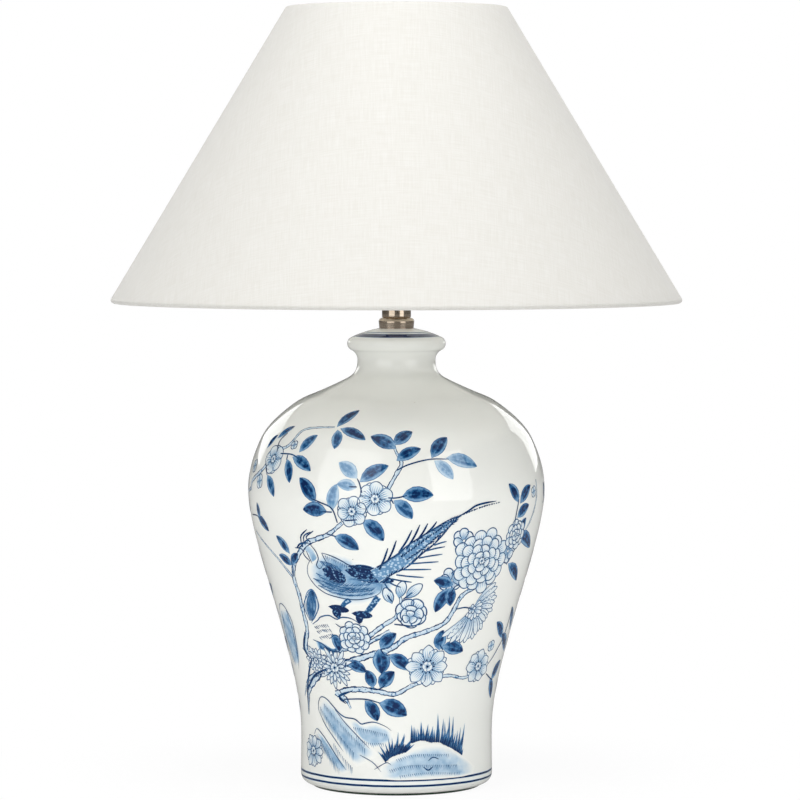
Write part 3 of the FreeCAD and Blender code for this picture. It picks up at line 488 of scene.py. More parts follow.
@dataclass(frozen=True)
class Dull(Finish):
    """A plain moulded, pressed or felted stuff, mottled by its own grain."""

    name: str
    light: Rgb
    dark: Rgb
    roughness: float
    scale: float = 160.0
    depth: float = 0.05
    coat: float = 0.0
    sheen: float = 0.0
    stretch: tuple[float, float, float] = (1.0, 1.0, 1.0)

    def sockets(self, shader: Shader) -> dict[str, Any]:
        """One grain in colour, shine and height.

        Args:
            shader: The shader that is filled.

        Returns:
            The sockets' values by name.
        """
        grain = shader.noise(shader.position(self.stretch), self.scale, 5.0, 0.65)
        return {
            "Base Color": shader.mix(grain.step(0.3, 0.7), paint(*self.dark), paint(*self.light)),
            "Roughness": grain * 0.12 + (self.roughness - 0.06),
            "Coat Weight": self.coat,
            "Coat Roughness": 0.1,
            "Sheen Weight": self.sheen,
            "Normal": shader.bump(grain, self.depth),
        }


@dataclass(frozen=True)
class FrostedGlass(Finish):
    """The bulb's glass, white inside and etched smooth outside."""

    name: str = "bulb_frosted_glass"
    pale: Rgb = (246, 246, 243)
    deep: Rgb = (236, 237, 236)

    def sockets(self, shader: Shader) -> dict[str, Any]:
        """Milky glass with a fine frost.

        Args:
            shader: The shader that is filled.

        Returns:
            The sockets' values by name.
        """
        frost = shader.noise(shader.position(), 900.0, 2.0)
        cloud = shader.noise(shader.position(), 30.0, 2.0)
        return {
            "Base Color": shader.mix(cloud, paint(*self.deep), paint(*self.pale)),
            "Roughness": frost * 0.10 + 0.30,
            "Transmission Weight": 0.25,
            "Subsurface Weight": 0.3,
            "Subsurface Scale": 0.004,
            "Normal": shader.bump(frost, 0.01),
        }


class Palette:
    """Every finish of the lamp, each made once when it is first asked for."""

    recipes = {
        "glaze": JarGlaze(),
        "linen": Linen(),
        "nickel": Metal("satin_nickel", (214, 199, 180), (184, 168, 149), 0.17, depth=0.003),
        "zinc": Metal("zinc_plate", (206, 210, 214), (168, 173, 180), 0.36, (300.0, 300.0, 300.0), 0.02),
        "brass": Metal("plain_brass", (222, 190, 120), (190, 152, 84), 0.30),
        "felt": Dull("green_felt", (58, 84, 66), (34, 56, 42), 0.95, 700.0, 0.30, sheen=0.5),
        "phenolic": Dull("black_phenolic", (38, 34, 32), (24, 21, 20), 0.38, 240.0, 0.02, coat=0.3),
        "knob": Dull("knob_phenolic", (34, 31, 30), (20, 18, 18), 0.30, 240.0, 0.015, coat=0.5),
        "paper": Dull("fibre_paper", (196, 176, 140), (170, 148, 112), 0.85, 420.0, 0.06,
                      stretch=(1.0, 1.0, 0.2)),
        "rubber": Dull("white_bushing", (230, 228, 219), (218, 215, 204), 0.62, 380.0, 0.03),
        "glass_black": Dull("black_cap_glass", (22, 20, 24), (12, 11, 14), 0.16, 120.0, 0.01, coat=0.8),
        "styrene": Dull("white_styrene", (240, 239, 234), (232, 231, 225), 0.48, 90.0, 0.02),
        "frosted": FrostedGlass(),
    }

    def __init__(self) -> None:
        """Start with nothing made."""
        self.made: dict[str, bpy.types.Material] = {}

    def __getitem__(self, name: str) -> bpy.types.Material:
        """The finish of that name."""
        if name not in self.made:
            recipe = self.recipes.get(name) or CobaltInk(Ink(name.removeprefix("cobalt_")))
            self.made[name] = recipe.make()
        return self.made[name]


# ---------------------------------------------------------------- mesh tools


def spline(poles: Sequence[Sequence[float]], count: int) -> np.ndarray:
    """Points of a clamped uniform cubic B-spline.

    Args:
        poles: The control points.
        count: How many points to give.

    Returns:
        The points, one row each.
    """
    held = np.asarray(poles, float)
    degree = 3
    knots = np.concatenate([np.zeros(degree), np.linspace(0, 1, len(held) - degree + 1), np.ones(degree)])
    places = np.linspace(0, 1, count)
    places[-1] = 1.0 - 1e-12
    basis = ((places[:, None] >= knots[None, :-1]) & (places[:, None] < knots[None, 1:])).astype(float)
    for power in range(1, degree + 1):
        kept = basis.shape[1] - 1
        fresh = np.zeros((count, kept))
        for index in range(kept):
            left = knots[index + power] - knots[index]
            right = knots[index + power + 1] - knots[index + 1]
            if left > 0:
                fresh[:, index] += (places - knots[index]) / left * basis[:, index]
            if right > 0:
                fresh[:, index] += (knots[index + power + 1] - places) / right * basis[:, index + 1]
        basis = fresh
    return basis @ held


def smooth_path(points: Sequence[Sequence[float]], step: float) -> np.ndarray:
    """A smooth line through points, with even steps.

    Args:
        points: The points it passes through.
        step: How far apart the new points are.

    Returns:
        The new points, one row each.
    """
    marks = np.asarray(points, float)
    if len(marks) == 2:
        marks = np.vstack([marks[0], marks.mean(0), marks[1]])
    padded = np.vstack([2 * marks[0] - marks[1], marks, 2 * marks[-1] - marks[-2]])
    rows = []
    for before, start, end, after in zip(padded, padded[1:], padded[2:], padded[3:]):
        t = np.linspace(0, 1, 12, endpoint=False)[:, None]
        rows.append(0.5 * (2 * start + (end - before) * t + (2 * before - 5 * start + 4 * end - after) * t**2
                           + (3 * start - before - 3 * end + after) * t**3))
    line = np.vstack([*rows, marks[-1:]])
    lengths = np.concatenate([[0], np.cumsum(np.linalg.norm(np.diff(line, axis=0), axis=1))])
    count = max(3, int(math.ceil(lengths[-1] / step)) + 1)
    even = np.linspace(0, lengths[-1], count)
    return np.stack([np.interp(even, lengths, line[:, axis]) for axis in range(line.shape[1])], axis=1)


class Section:
    """A turned piece's section, drawn point by point as radius and height."""

    def __init__(self, across: float, up: float) -> None:
        """Start at a point."""
        self.points: list[tuple[float, float]] = [(across, up)]

    def to(self, across: float, up: float, parts: int = 1) -> "Section":
        """Go straight to a point, in a number of equal parts."""
        start = self.points[-1]
        for part in range(1, parts + 1):
            share = part / parts
            self.points.append((start[0] + (across - start[0]) * share, start[1] + (up - start[1]) * share))
        return self

    def arc(self, centre: tuple[float, float], across: float, up: float, parts: int = 6) -> "Section":
        """Go round a centre to a point, the shorter way.

        Args:
            centre: The arc's centre.
            across: The end's radius from the axis.
            up: The end's height.
            parts: How many straight parts the arc has.

        Returns:
            The section, so that calls chain.
        """
        start = self.points[-1]
        first = math.atan2(start[1] - centre[1], start[0] - centre[0])
        last = math.atan2(up - centre[1], across - centre[0])
        sweep = (last - first + math.pi) % TURN - math.pi
        size = math.hypot(start[0] - centre[0], start[1] - centre[1])
        for part in range(1, parts + 1):
            angle = first + sweep * part / parts
            self.points.append((centre[0] + size * math.cos(angle), centre[1] + size * math.sin(angle)))
        return self

    def curve(self, poles: Sequence[tuple[float, float]], parts: int) -> "Section":
        """Follow a B-spline from the last point over these control points."""
        self.points += [tuple(point) for point in spline([self.points[-1], *poles], parts + 1)[1:]]
        return self


@dataclass
class Piece:
    """A finished mesh before it becomes an object."""

    name: str
    points: np.ndarray
    faces: list[tuple[int, ...]]
    flat: Optional[np.ndarray] = None
    flat_name: str = "cut"
    tones: Optional[np.ndarray] = None
    normals: Optional[np.ndarray] = None
    sharp: float = 38.0

    def mesh(self) -> bpy.types.Mesh:
        """Make Blender's mesh from the piece, in metres.

        Returns:
            The mesh.
        """
        mesh = bpy.data.meshes.new(self.name)
        mesh.from_pydata((self.points * MM).tolist(), [], self.faces)
        mesh.update()
        if self.flat is not None:
            layer = mesh.uv_layers.new(name=self.flat_name)
            flat = self.flat
            if len(flat) == len(mesh.vertices):
                corners = np.zeros(len(mesh.loops), np.int32)
                mesh.loops.foreach_get("vertex_index", corners)
                flat = flat[corners]
            layer.data.foreach_set("uv", flat.astype(np.float32).ravel())
        if self.tones is not None:
            layer = mesh.attributes.new("tone", "FLOAT", "POINT")
            layer.data.foreach_set("value", self.tones.astype(np.float32))
        mesh.shade_smooth()
        if self.normals is not None:
            mesh.normals_split_custom_set_from_vertices(self.normals.tolist())
        else:
            mesh.set_sharp_from_angle(angle=math.radians(self.sharp))
        return mesh


def turned(name: str, section: Section, segments: int = 96, closed: bool = False,
           cone_map: Optional[tuple[float, float]] = None) -> Piece:
    """Turn a section round the Z axis.

    Args:
        name: The piece's name.
        section: The section, drawn so that the outside is on its right going up.
        segments: How many steps make the full turn.
        closed: Whether the section's last point joins its first.
        cone_map: The apex's height and the sine of the half angle, to lay the piece flat.

    Returns:
        The piece.
    """
    points = list(section.points)
    places: list[tuple[float, float, float]] = []
    rings: list[list[int]] = []
    lengths = np.concatenate([[0], np.cumsum([math.dist(a, b) for a, b in zip(points, points[1:])])])
    for radius, height in points:
        ring = []
        for step in range(1 if radius < 1e-6 else segments):
            angle = TURN * step / segments + math.pi / 2
            places.append((radius * math.cos(angle), radius * math.sin(angle), height))
            ring.append(len(places) - 1)
        rings.append(ring)

    def flat_place(row: int, step: int) -> tuple[float, float]:
        """Where a corner lies on the flat cut, or round and along the piece.

        Args:
            row: The corner's place in the section.
            step: Its place round the axis.

        Returns:
            Its place on the map.
        """
        if not cone_map:
            return step / segments, lengths[row] * MM
        apex, sine = cone_map
        slant = math.hypot(points[row][0], apex - points[row][1])
        turn = (TURN * step / segments - math.pi) * sine
        return slant * math.sin(turn) * MM, -slant * math.cos(turn) * MM

    faces: list[tuple[int, ...]] = []
    flats: list[tuple[float, float]] = []
    order = list(range(len(points)))
    for low, high in list(zip(order, order[1:])) + ([(order[-1], 0)] if closed else []):
        for step in range(segments):
            corners = [(low, step), (low, step + 1), (high, step + 1), (high, step)]
            kept: dict[int, tuple[float, float]] = {}
            for row, place in corners:
                kept.setdefault(rings[row][place % len(rings[row])], flat_place(row, place))
            if len(kept) > 2:
                faces.append(tuple(kept))
                flats += kept.values()
    return Piece(name, np.array(places), faces, np.array(flats))


class Workshop:
    """Turns finished pieces into objects that ride on the frame."""

    def __init__(self, palette: Palette, frame: dict[str, Any]) -> None:
        """Keep the palette and the frame."""
        self.palette = palette
        self.frame = frame
        self.count = 0

    def place(self, piece: Piece, finish: str, body: str, stands_for: Sequence[str],
              slot: str) -> bpy.types.Object:
        """Make an object from a piece, give it its finish and fix it to its body."""
        return self.place_mesh(piece.name, piece.mesh(), finish, body, stands_for)

    def place_mesh(self, name: str, mesh: bpy.types.Mesh, finish: str, body: str, stands_for: Sequence[str]) -> bpy.types.Object:
        """Make an object from a mesh, fix it to its body and hide the nodes that it stands for.

        Args:
            name: The object's name.
            mesh: Its mesh.
            finish: The name of its finish.
            body: The body's name.
            stands_for: The nodes that it replaces.

        Returns:
            The object.
        """
        mesh.materials.clear()
        mesh.materials.append(self.palette[finish])
        item = bpy.data.objects.new(name, mesh)
        bpy.context.scene.collection.objects.link(item)
        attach(item, body)
        if stands_for:
            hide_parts(*stands_for)
        self.count += 1
        LOG.info("%s rides on %s", item.name, body)
        return item

    def refinish(self, node: str, finish: str) -> None:
        """Give a node of the frame a better finish."""
        item = self.frame["nodes"][node]
        item.data.materials.clear()
        item.data.materials.append(self.palette[finish])
        LOG.info("%s keeps its solid, in %s", node, finish)


# ---------------------------------------------------------------- node-built shapes


class Recipe(NodeMaker):
    """A geometry node tree that is built in the script, with named inputs."""

    def __init__(self, name: str, sizes: Sequence[str], whole: str) -> None:
        """Make the tree with its named inputs: a shape, sizes, a whole number and a finish.

        Args:
            name: The tree's name.
            sizes: The names of its sizes.
            whole: The name of its whole number.
        """
        super().__init__(bpy.data.node_groups.new(name, "GeometryNodeTree"))
        face = self.tree.interface
        kinds = {"Shape": "Geometry", **dict.fromkeys(sizes, "Float"), whole: "Int", "Finish": "Material"}
        self.keys = {
            label: face.new_socket(name=label, in_out="INPUT", socket_type="NodeSocket" + kind).identifier
            for label, kind in kinds.items()
        }
        face.new_socket(name="Shape", in_out="OUTPUT", socket_type="NodeSocketGeometry")
        self.given = self.tree.nodes.new("NodeGroupInput")

    def node(self, kind: str, settings: dict[str, Any], values: dict[Any, Any]) -> Any:
        """Add a node whose values may also be the names of the tree's inputs.

        Args:
            kind: The node's type.
            settings: Its properties.
            values: Numbers, names of inputs, sockets or Numbers by socket name or index.

        Returns:
            The node.
        """
        given = self.given.outputs
        plain = {key: value.socket if isinstance(value, Number) else value for key, value in values.items()}
        found = {
            key: given[value] if isinstance(value, str) and value in given else value
            for key, value in plain.items()
        }
        return super().node(kind, settings, found)

    def finish(self, shape: Any, merge: bool = False) -> None:
        """Realize the instances, set the material and end the tree."""
        last = self.node("GeometryNodeRealizeInstances", {}, {0: shape}).outputs[0]
        if merge:
            last = self.node("GeometryNodeMergeByDistance", {}, {0: last, "Distance": 1e-6}).outputs[0]
        last = self.node("GeometryNodeSetMaterial", {}, {0: last, "Material": "Finish"}).outputs[0]
        self.node("NodeGroupOutput", {}, {0: last})

    def sweep(self, line: Any, sides: Any, radius: Any) -> None:
        """Sweep a circle along a line, with closed ends, and end the tree."""
        circle = self.node("GeometryNodeCurvePrimitiveCircle", {}, {"Resolution": sides, "Radius": radius})
        values = {"Curve": line, "Profile Curve": circle.outputs[0], "Fill Caps": True}
        self.finish(self.node("GeometryNodeCurveToMesh", {}, values).outputs[0])

    def ring(self, item: Any) -> Any:
        """Set a shape on each of Count places round a circle of the size Radius."""
        wheel = self.node("GeometryNodeMeshCircle", {}, {"Vertices": "Count", "Radius": "Radius"})
        values = {"Points": wheel.outputs[0], "Instance": item}
        return self.node("GeometryNodeInstanceOnPoints", {}, values).outputs[0]

    def run(self, host: bpy.types.ID, values: dict[str, Any]) -> bpy.types.Mesh:
        """Run the tree on a host shape and keep the result as a plain mesh.

        Args:
            host: The curve or mesh data that the tree starts from.
            values: Each named input's value.

        Returns:
            The mesh.
        """
        item = bpy.data.objects.new("host", host)
        bpy.context.scene.collection.objects.link(item)
        modifier = item.modifiers.new("recipe", "NODES")
        modifier.node_group = self.tree
        for label, value in values.items():
            modifier[self.keys[label]] = value
        item.update_tag()
        graph = bpy.context.evaluated_depsgraph_get()
        mesh = bpy.data.meshes.new_from_object(item.evaluated_get(graph), depsgraph=graph)
        item.modifiers.clear()
        bpy.data.objects.remove(item)
        return mesh


def route(points: Iterable[Sequence[float]], closed: bool = False) -> bpy.types.Curve:
    """A curve of straight parts through points given in millimetres.

    Args:
        points: The points in millimetres.
        closed: Whether the last point joins the first.

    Returns:
        The curve.
    """
    data = bpy.data.curves.new("route", "CURVE")
    data.dimensions = "3D"
    line = data.splines.new("POLY")
    rows = [tuple(point) for point in points]
    line.points.add(len(rows) - 1)
    for knot, point in zip(line.points, rows):
        knot.co = (point[0] * MM, point[1] * MM, point[2] * MM, 1.0)
    line.use_cyclic_u = closed
    return data


class WireBender(Recipe):
    """Sweeps a round wire along a route."""

    def __init__(self) -> None:
        """Build the tree."""
        super().__init__("wire_bender", ["Radius"], "Sides")
        self.sweep("Shape", "Sides", "Radius")

    def bend(self, points: Iterable[Sequence[float]], radius: float, finish: bpy.types.Material,
             closed: bool = False, sides: int = 20) -> bpy.types.Mesh:
        """Sweep one wire.

        Args:
            points: The route in millimetres.
            radius: The wire's radius in millimetres.
            finish: Its material.
            closed: Whether the route joins up.
            sides: How many sides the wire has.

        Returns:
            The wire's mesh, its ends rounded off by a sharp edge.
        """
        mesh = self.run(route(points, closed), {"Radius": radius * MM, "Sides": sides, "Finish": finish})
        mesh.shade_smooth()
        mesh.set_sharp_from_angle(angle=math.radians(45))
        return mesh


class ThreadRoller(Recipe):
    """Rolls a helical thread on a cylinder."""

    def __init__(self) -> None:
        """Build the tree."""
        super().__init__("thread_roller", ["Radius", "Pitch", "Turns", "Depth"], "Steps")
        height = self.node("ShaderNodeMath", {"operation": "MULTIPLY"}, {0: "Pitch", 1: "Turns"})
        helix = self.node("GeometryNodeCurveSpiral", {}, {
            "Resolution": "Steps", "Rotations": "Turns", "Start Radius": "Radius", "End Radius": "Radius",
            "Height": height.outputs[0],
        })
        self.sweep(helix.outputs[0], 8, "Depth")

    def roll(self, radius: float, pitch: float, turns: float, depth: float, bottom: float,
             finish: bpy.types.Material) -> bpy.types.Mesh:
        """Roll one thread.

        Args:
            radius: The helix's radius in millimetres.
            pitch: Its rise in one turn.
            turns: How many turns it makes.
            depth: The rib's radius.
            bottom: Its lowest height.
            finish: Its material.

        Returns:
            The thread's mesh.
        """
        mesh = self.run(bpy.data.meshes.new("blank"), {
            "Radius": radius * MM, "Pitch": pitch * MM, "Turns": turns, "Depth": depth * MM,
            "Steps": 36, "Finish": finish,
        })
        mesh.shade_smooth()
        return shifted(mesh, 0.0, 0.0, bottom)


class RibWheel(Recipe):
    """Sets upright ribs round a barrel that points along -Y."""

    def __init__(self) -> None:
        """Build the tree."""
        super().__init__("rib_wheel", ["Radius", "Length", "Rib"], "Count")
        rib = self.node("GeometryNodeMeshCylinder", {}, {"Vertices": 10, "Radius": "Rib", "Depth": "Length"})
        values = {0: self.ring(rib.outputs[0]), "Rotation": (math.pi / 2, 0.0, 0.0)}
        self.finish(self.node("GeometryNodeTransform", {}, values).outputs[0])


def shifted(mesh: bpy.types.Mesh, across: float, deep: float, up: float) -> bpy.types.Mesh:
    """Move a mesh by so many millimetres along each axis."""
    mesh.transform(Matrix.Translation((across * MM, deep * MM, up * MM)))
    return mesh


def merged(first: bpy.types.Mesh, others: Sequence[bpy.types.Mesh]) -> bpy.types.Mesh:
    """Put several meshes into one, each keeping its points apart.

    Args:
        first: The mesh whose name and finish are kept.
        others: The meshes that are added to it.

    Returns:
        The new mesh.
    """
    places: list[Sequence[float]] = []
    faces: list[tuple[int, ...]] = []
    for mesh in (first, *others):
        start = len(places)
        places += [tuple(vertex.co) for vertex in mesh.vertices]
        faces += [tuple(start + index for index in polygon.vertices) for polygon in mesh.polygons]
    joined = bpy.data.meshes.new(first.name)
    joined.from_pydata(places, [], faces)
    for finish in first.materials:
        joined.materials.append(finish)
    joined.shade_smooth()
    joined.set_sharp_from_angle(angle=math.radians(38))
    return joined


# ---------------------------------------------------------------- the jar


@dataclass
class JarShape:
    """The jar's outside: foot, swelling body, narrow neck and rolled lip."""

    foot: float = 84.2
    foot_z: float = 2.0
    foot_edge: float = 9.0
    belly: float = 129.8
    belly_rise: float = 251.0
    neck: float = 34.2
    shoulder_rise: float = 112.0
    cove: float = 9.45
    cove_sweep: float = 64.9
    lip: float = 6.2
    lip_sweep: float = 64.1
    seat: float = 16.0
    bore: float = 6.0
    lower: tuple[Spot, ...] = ((0.0, 0.10), (-0.05, 0.22), (0.33, 0.49), (0.65, 0.69), (1.13, 0.99))
    upper: tuple[Spot, ...] = (
        (0.92, 0.34), (0.82, 0.50), (0.53, 0.70), (0.41, 0.73), (0.10, 0.85), (0.0, 0.90), (0.0, 1.0),
    )
    line: np.ndarray = field(init=False)
    lengths: np.ndarray = field(init=False)

    def __post_init__(self) -> None:
        """Work out the painted surface's line, from the foot's edge up to the neck."""
        body = spline([(self.foot, self.body_z), *self.poles()], 700)
        self.line = body
        self.lengths = np.concatenate([[0], np.cumsum(np.linalg.norm(np.diff(body, axis=0), axis=1))])

    @property
    def body_z(self) -> float:
        """Where the body's curve starts."""
        return self.foot_z + self.foot_edge

    @property
    def neck_z(self) -> float:
        """Where the neck is narrowest."""
        return self.body_z + self.belly_rise + self.shoulder_rise

    def poles(self) -> list[Spot]:
        """The body's control points after its start.

        Returns:
            The control points.
        """
        parts = (
            (self.lower, self.foot, self.body_z, self.belly_rise),
            (self.upper, self.neck, self.body_z + self.belly_rise, self.shoulder_rise),
        )
        return [(least + (self.belly - least) * share, start + rise * up)
                for poles, least, start, rise in parts for share, up in poles]

    def along(self, height: np.ndarray) -> np.ndarray:
        """The length of the painted surface up to a height."""
        return np.interp(height, self.line[:, 1], self.lengths)

    def radius(self, length: np.ndarray) -> np.ndarray:
        """The radius at a length up the painted surface."""
        return np.interp(length, self.lengths, self.line[:, 0])

    def wrap(self, turn: np.ndarray, length: np.ndarray, lift: np.ndarray) -> tuple[np.ndarray, np.ndarray]:
        """Lay flat marks on the surface.

        Args:
            turn: Angles in radians from the front, positive to the right.
            length: Lengths up the surface in millimetres.
            lift: How far each mark stands off the surface.

        Returns:
            The points and the surface's normals.
        """
        radius = self.radius(length)
        height = np.interp(length, self.lengths, self.line[:, 1])
        slope = np.gradient(self.line, self.lengths, axis=0)
        run = np.interp(length, self.lengths, slope[:, 0])
        rise = np.interp(length, self.lengths, slope[:, 1])
        size = np.hypot(run, rise)
        out, up = rise / size, -run / size
        far = radius + lift * out
        points = np.stack([far * np.sin(turn), -far * np.cos(turn), height + lift * up], axis=1)
        normals = np.stack([out * np.sin(turn), -out * np.cos(turn), up], axis=1)
        return points, normals

    def section(self) -> Section:
        """The whole outside and the recess under the foot, as one section.

        Returns:
            The section.
        """
        cove_centre = (self.neck + self.cove, self.neck_z)
        angle = math.radians(self.cove_sweep)
        reach = self.cove + self.lip
        lip_centre = (cove_centre[0] - reach * math.cos(angle), self.neck_z + reach * math.sin(angle))
        cove_end = (cove_centre[0] - self.cove * math.cos(angle), self.neck_z + self.cove * math.sin(angle))
        lip_angle = math.radians(self.lip_sweep)
        lip_end = (lip_centre[0] + self.lip * math.cos(lip_angle),
                   lip_centre[1] + self.lip * math.sin(lip_angle))
        dome = lip_centre[0] / math.cos(lip_angle) + self.lip
        dome_z = lip_centre[1] - lip_centre[0] * math.tan(lip_angle)
        seat_z = dome_z + math.sqrt(dome * dome - self.seat * self.seat)
        ring_out, ring_in = self.foot - self.foot_edge, self.foot - self.foot_edge - 8.0
        recess = self.foot - 10.0
        section = Section(self.bore, 22.0)
        section.to(recess, 22.0, 4).to(recess, 10.0, 2).to(ring_in, self.foot_z, 2)
        section.to(ring_in + 1.0, self.foot_z).to(ring_out - 1.0, self.foot_z).to(ring_out, self.foot_z)
        section.arc((ring_out, self.body_z), self.foot, self.body_z, 12)
        section.curve(self.poles(), 190)
        section.arc(cove_centre, *cove_end, 10)
        section.arc(lip_centre, *lip_end, 14)
        section.arc((0.0, dome_z), self.seat, seat_z, 10)
        section.to(self.bore, seat_z).to(self.bore, 22.0, 2)
        return section


# ---------------------------------------------------------------- the painting


class Ink(Enum):
    """The ways that cobalt is laid on, from a pale wash to a fine line."""

    WASH = "wash"
    BARK = "bark"
    FEATHER = "feather"
    LEAF = "leaf"
    PETAL = "petal"
    LINE = "line"


class Layer(Enum):
    """Which mark lies over which, as the painter puts them on."""

    ROCK = 1
    BRANCH = 2
    BIRD = 3
    PLUMAGE = 4
    LEAVES = 5
    OUTER_PETALS = 6
    MIDDLE_PETALS = 7
    INNER_PETALS = 8
    CORE_PETALS = 9
    HEART = 10
    FINE = 11


@dataclass(frozen=True)
class CobaltInk(Finish):
    """One kind of brushwork, its pattern read from each mark's own flat map."""

    ink: Ink
    colours: GlazeColours = GlazeColours()

    @property
    def name(self) -> str:
        """The material's name."""
        return "cobalt_" + self.ink.value

    def sockets(self, shader: Shader) -> dict[str, Any]:
        """The ink's own pattern, as a tone of cobalt in the glaze's shine."""
        _, along, over = shader.own_map("stroke")
        rim = (over - 0.5).magnitude() * 2.0
        tone = shader.attribute("tone") * getattr(self, self.ink.value)(shader, along, over, rim)
        return {"Base Color": self.colours.ink(shader, tone), **self.colours.gloss(shader)}

    def wash(self, shader: Shader, along: Number, over: Number, rim: Number) -> Number:
        """A pale, cloudy wash that fades at its edges."""
        cloud = shader.noise(shader.position(), 120.0, 3.0)
        ends = along.smaller(1.0 - along).step(0.0, 0.20)
        return rim.step(1.0, 0.45) * ends * (cloud * 2.0 + 0.05)

    def bark(self, shader: Shader, along: Number, over: Number, rim: Number) -> Number:
        """Pale bark between two dark, knotted edges, with short strokes along it.

        Args:
            shader: The shader that is filled.
            along: The place along the mark, from 0 to 1.
            over: The place over the mark, from 0 to 1.
            rim: How near the mark's side it is, from 0 to 1.

        Returns:
            The pattern's tone.
        """
        place = shader.position()
        knots = (shader.noise(place, 240.0, 3.0) - 0.5) * 0.9
        edge = (rim + knots).step(0.50, 0.70)
        flecks = shader.noise(shader.position((1.0, 1.0, 0.5)), 460.0, 2.0).step(0.55, 0.66)
        heavy = shader.noise(place, 90.0, 2.0) * 0.5 + 0.72
        return (edge * heavy).larger(flecks * 0.66).larger(over * 0.16 + 0.08)

    def feather(self, shader: Shader, along: Number, over: Number, rim: Number) -> Number:
        """Small scales, each with a dark edge."""
        scales = shader.cells(shader.position((1.0, 1.0, 1.3)), 360.0)
        patch = shader.noise(shader.position(), 110.0, 2.0)
        return (scales.step(0.26, 0.52) * 0.62 + 0.30 + patch * 0.30) * rim.step(1.02, 0.80).larger(0.5)

    def leaf(self, shader: Shader, along: Number, over: Number, rim: Number) -> Number:
        """A leaf with a dark, brushed middle, a lighter margin and a thin dark edge."""
        patch = shader.noise(shader.position(), 210.0, 2.0).step(0.34, 0.60)
        middle = (rim + over * 0.30).step(1.02, 0.50) * along.step(0.02, 0.26)
        edge = rim.step(0.80, 0.95) * 0.26
        midrib = rim.step(0.10, 0.02) * along.step(0.80, 0.30) * 0.14
        return middle * (patch * 0.26 + 0.34) + patch * 0.10 + 0.44 + edge - midrib

    def petal(self, shader: Shader, along: Number, over: Number, rim: Number) -> Number:
        """A white petal with blue strokes out of its heart and a little wash at its edge."""
        comb = ((over * 6.0).fraction() - 0.5).magnitude().step(0.30, 0.10)
        strokes = comb * along.step(0.62, 0.22) * 0.62
        heart = along.step(0.40, 0.05) * 0.38
        brushed = shader.noise(shader.position(), 260.0, 2.0) * 0.16
        return strokes.larger(heart).larger(rim.step(0.55, 1.0) * 0.16 + brushed)

    def line(self, shader: Shader, along: Number, over: Number, rim: Number) -> Number:
        """A plain stroke, softer at its edges and heavier in places."""
        weight = shader.noise(shader.position(), 130.0, 2.0) * 0.5 + 0.75
        return (1.0 - rim.step(0.62, 1.0) * 0.35) * weight


@dataclass
class InkPot:
    """Every mark that is made with one ink."""

    points: list[np.ndarray] = field(default_factory=list)
    normals: list[np.ndarray] = field(default_factory=list)
    flats: list[np.ndarray] = field(default_factory=list)
    tones: list[np.ndarray] = field(default_factory=list)
    faces: list[tuple[int, ...]] = field(default_factory=list)
    count: int = 0

    def pour(self, points: np.ndarray, normals: np.ndarray, flats: np.ndarray, tones: np.ndarray,
             faces: Iterable[tuple[int, ...]]) -> None:
        """Add one mark.

        Args:
            points: The points.
            normals: Their normals.
            flats: Their places on the mark's own map.
            tones: How dark they are.
            faces: The faces.
        """
        self.points.append(points)
        self.normals.append(normals)
        self.flats.append(flats)
        self.tones.append(tones)
        self.faces += [tuple(index + self.count for index in face) for face in faces]
        self.count += len(points)

    def piece(self, name: str) -> Piece:
        """Every mark as one piece."""
        return Piece(
            name, np.concatenate(self.points), self.faces, np.concatenate(self.flats), "stroke",
            np.concatenate(self.tones), np.concatenate(self.normals),
        )


class BristleBrush(Recipe):
    """Sets tapered strokes along a line on the flat."""

    def __init__(self) -> None:
        """Build the tree."""
        sizes = ["Spacing", "Length", "Slimness", "Lean", "Fan", "Spread", "Curl"]
        super().__init__("bristle_brush", sizes, "Seed")
        values = {"Curve": "Shape", "Length": "Spacing"}
        even = self.node("GeometryNodeResampleCurve", {"mode": "LENGTH"}, values)
        size = {"Size X": 1.0, "Size Y": 1.0, "Vertices X": 8, "Vertices Y": 2}
        blade = self.node("GeometryNodeMeshGrid", {}, size)
        word = self.node("FunctionNodeInputString", {"string": "stroke"}, {})
        marked = self.node("GeometryNodeStoreNamedAttribute", {"data_type": "FLOAT2", "domain": "CORNER"}, {
            0: blade.outputs[0], "Name": word.outputs[0], "Value": blade.outputs["UV Map"],
        })
        across, deep, _ = self.parts(self.node("GeometryNodeInputPosition", {}, {}).outputs[0])
        along = across + 0.5
        square = along * along
        width = deep * "Slimness" * (1.02 - square)
        bowed = self.node("ShaderNodeCombineXYZ", {}, {0: along, 1: width + square * "Curl"})
        values = {0: marked.outputs[0], "Position": bowed.outputs[0]}
        shaped = self.node("GeometryNodeSetPosition", {}, values)
        run, rise, _ = self.parts(self.node("GeometryNodeInputTangent", {}, {}).outputs[0])
        share = Number(self, self.node("GeometryNodeSplineParameter", {}, {}).outputs["Factor"])
        strayed = self.chance(-1.0, 1.0, "Seed") * "Spread"
        leaned = (rise.slope(run) + "Lean") + (strayed + (0.5 - share) * "Fan")
        turned_by = self.node("ShaderNodeCombineXYZ", {}, {2: leaned})
        rotation = self.node("FunctionNodeEulerToRotation", {}, {0: turned_by.outputs[0]})
        strokes = self.node("GeometryNodeInstanceOnPoints", {}, {
            "Points": even.outputs[0], "Instance": shaped.outputs[0], "Rotation": rotation.outputs[0],
            "Scale": self.chance(0.66, 1.12, Number(self, "Seed") + 7.0) * "Length",
        })
        self.finish(strokes.outputs[0])

    def chance(self, low: float, high: float, seed: Any) -> Number:
        """A random number between two for each stroke, from a fixed seed."""
        made = self.node("FunctionNodeRandomValue", {"data_type": "FLOAT"}, {2: low, 3: high, 8: seed})
        return Number(self, made.outputs[1])


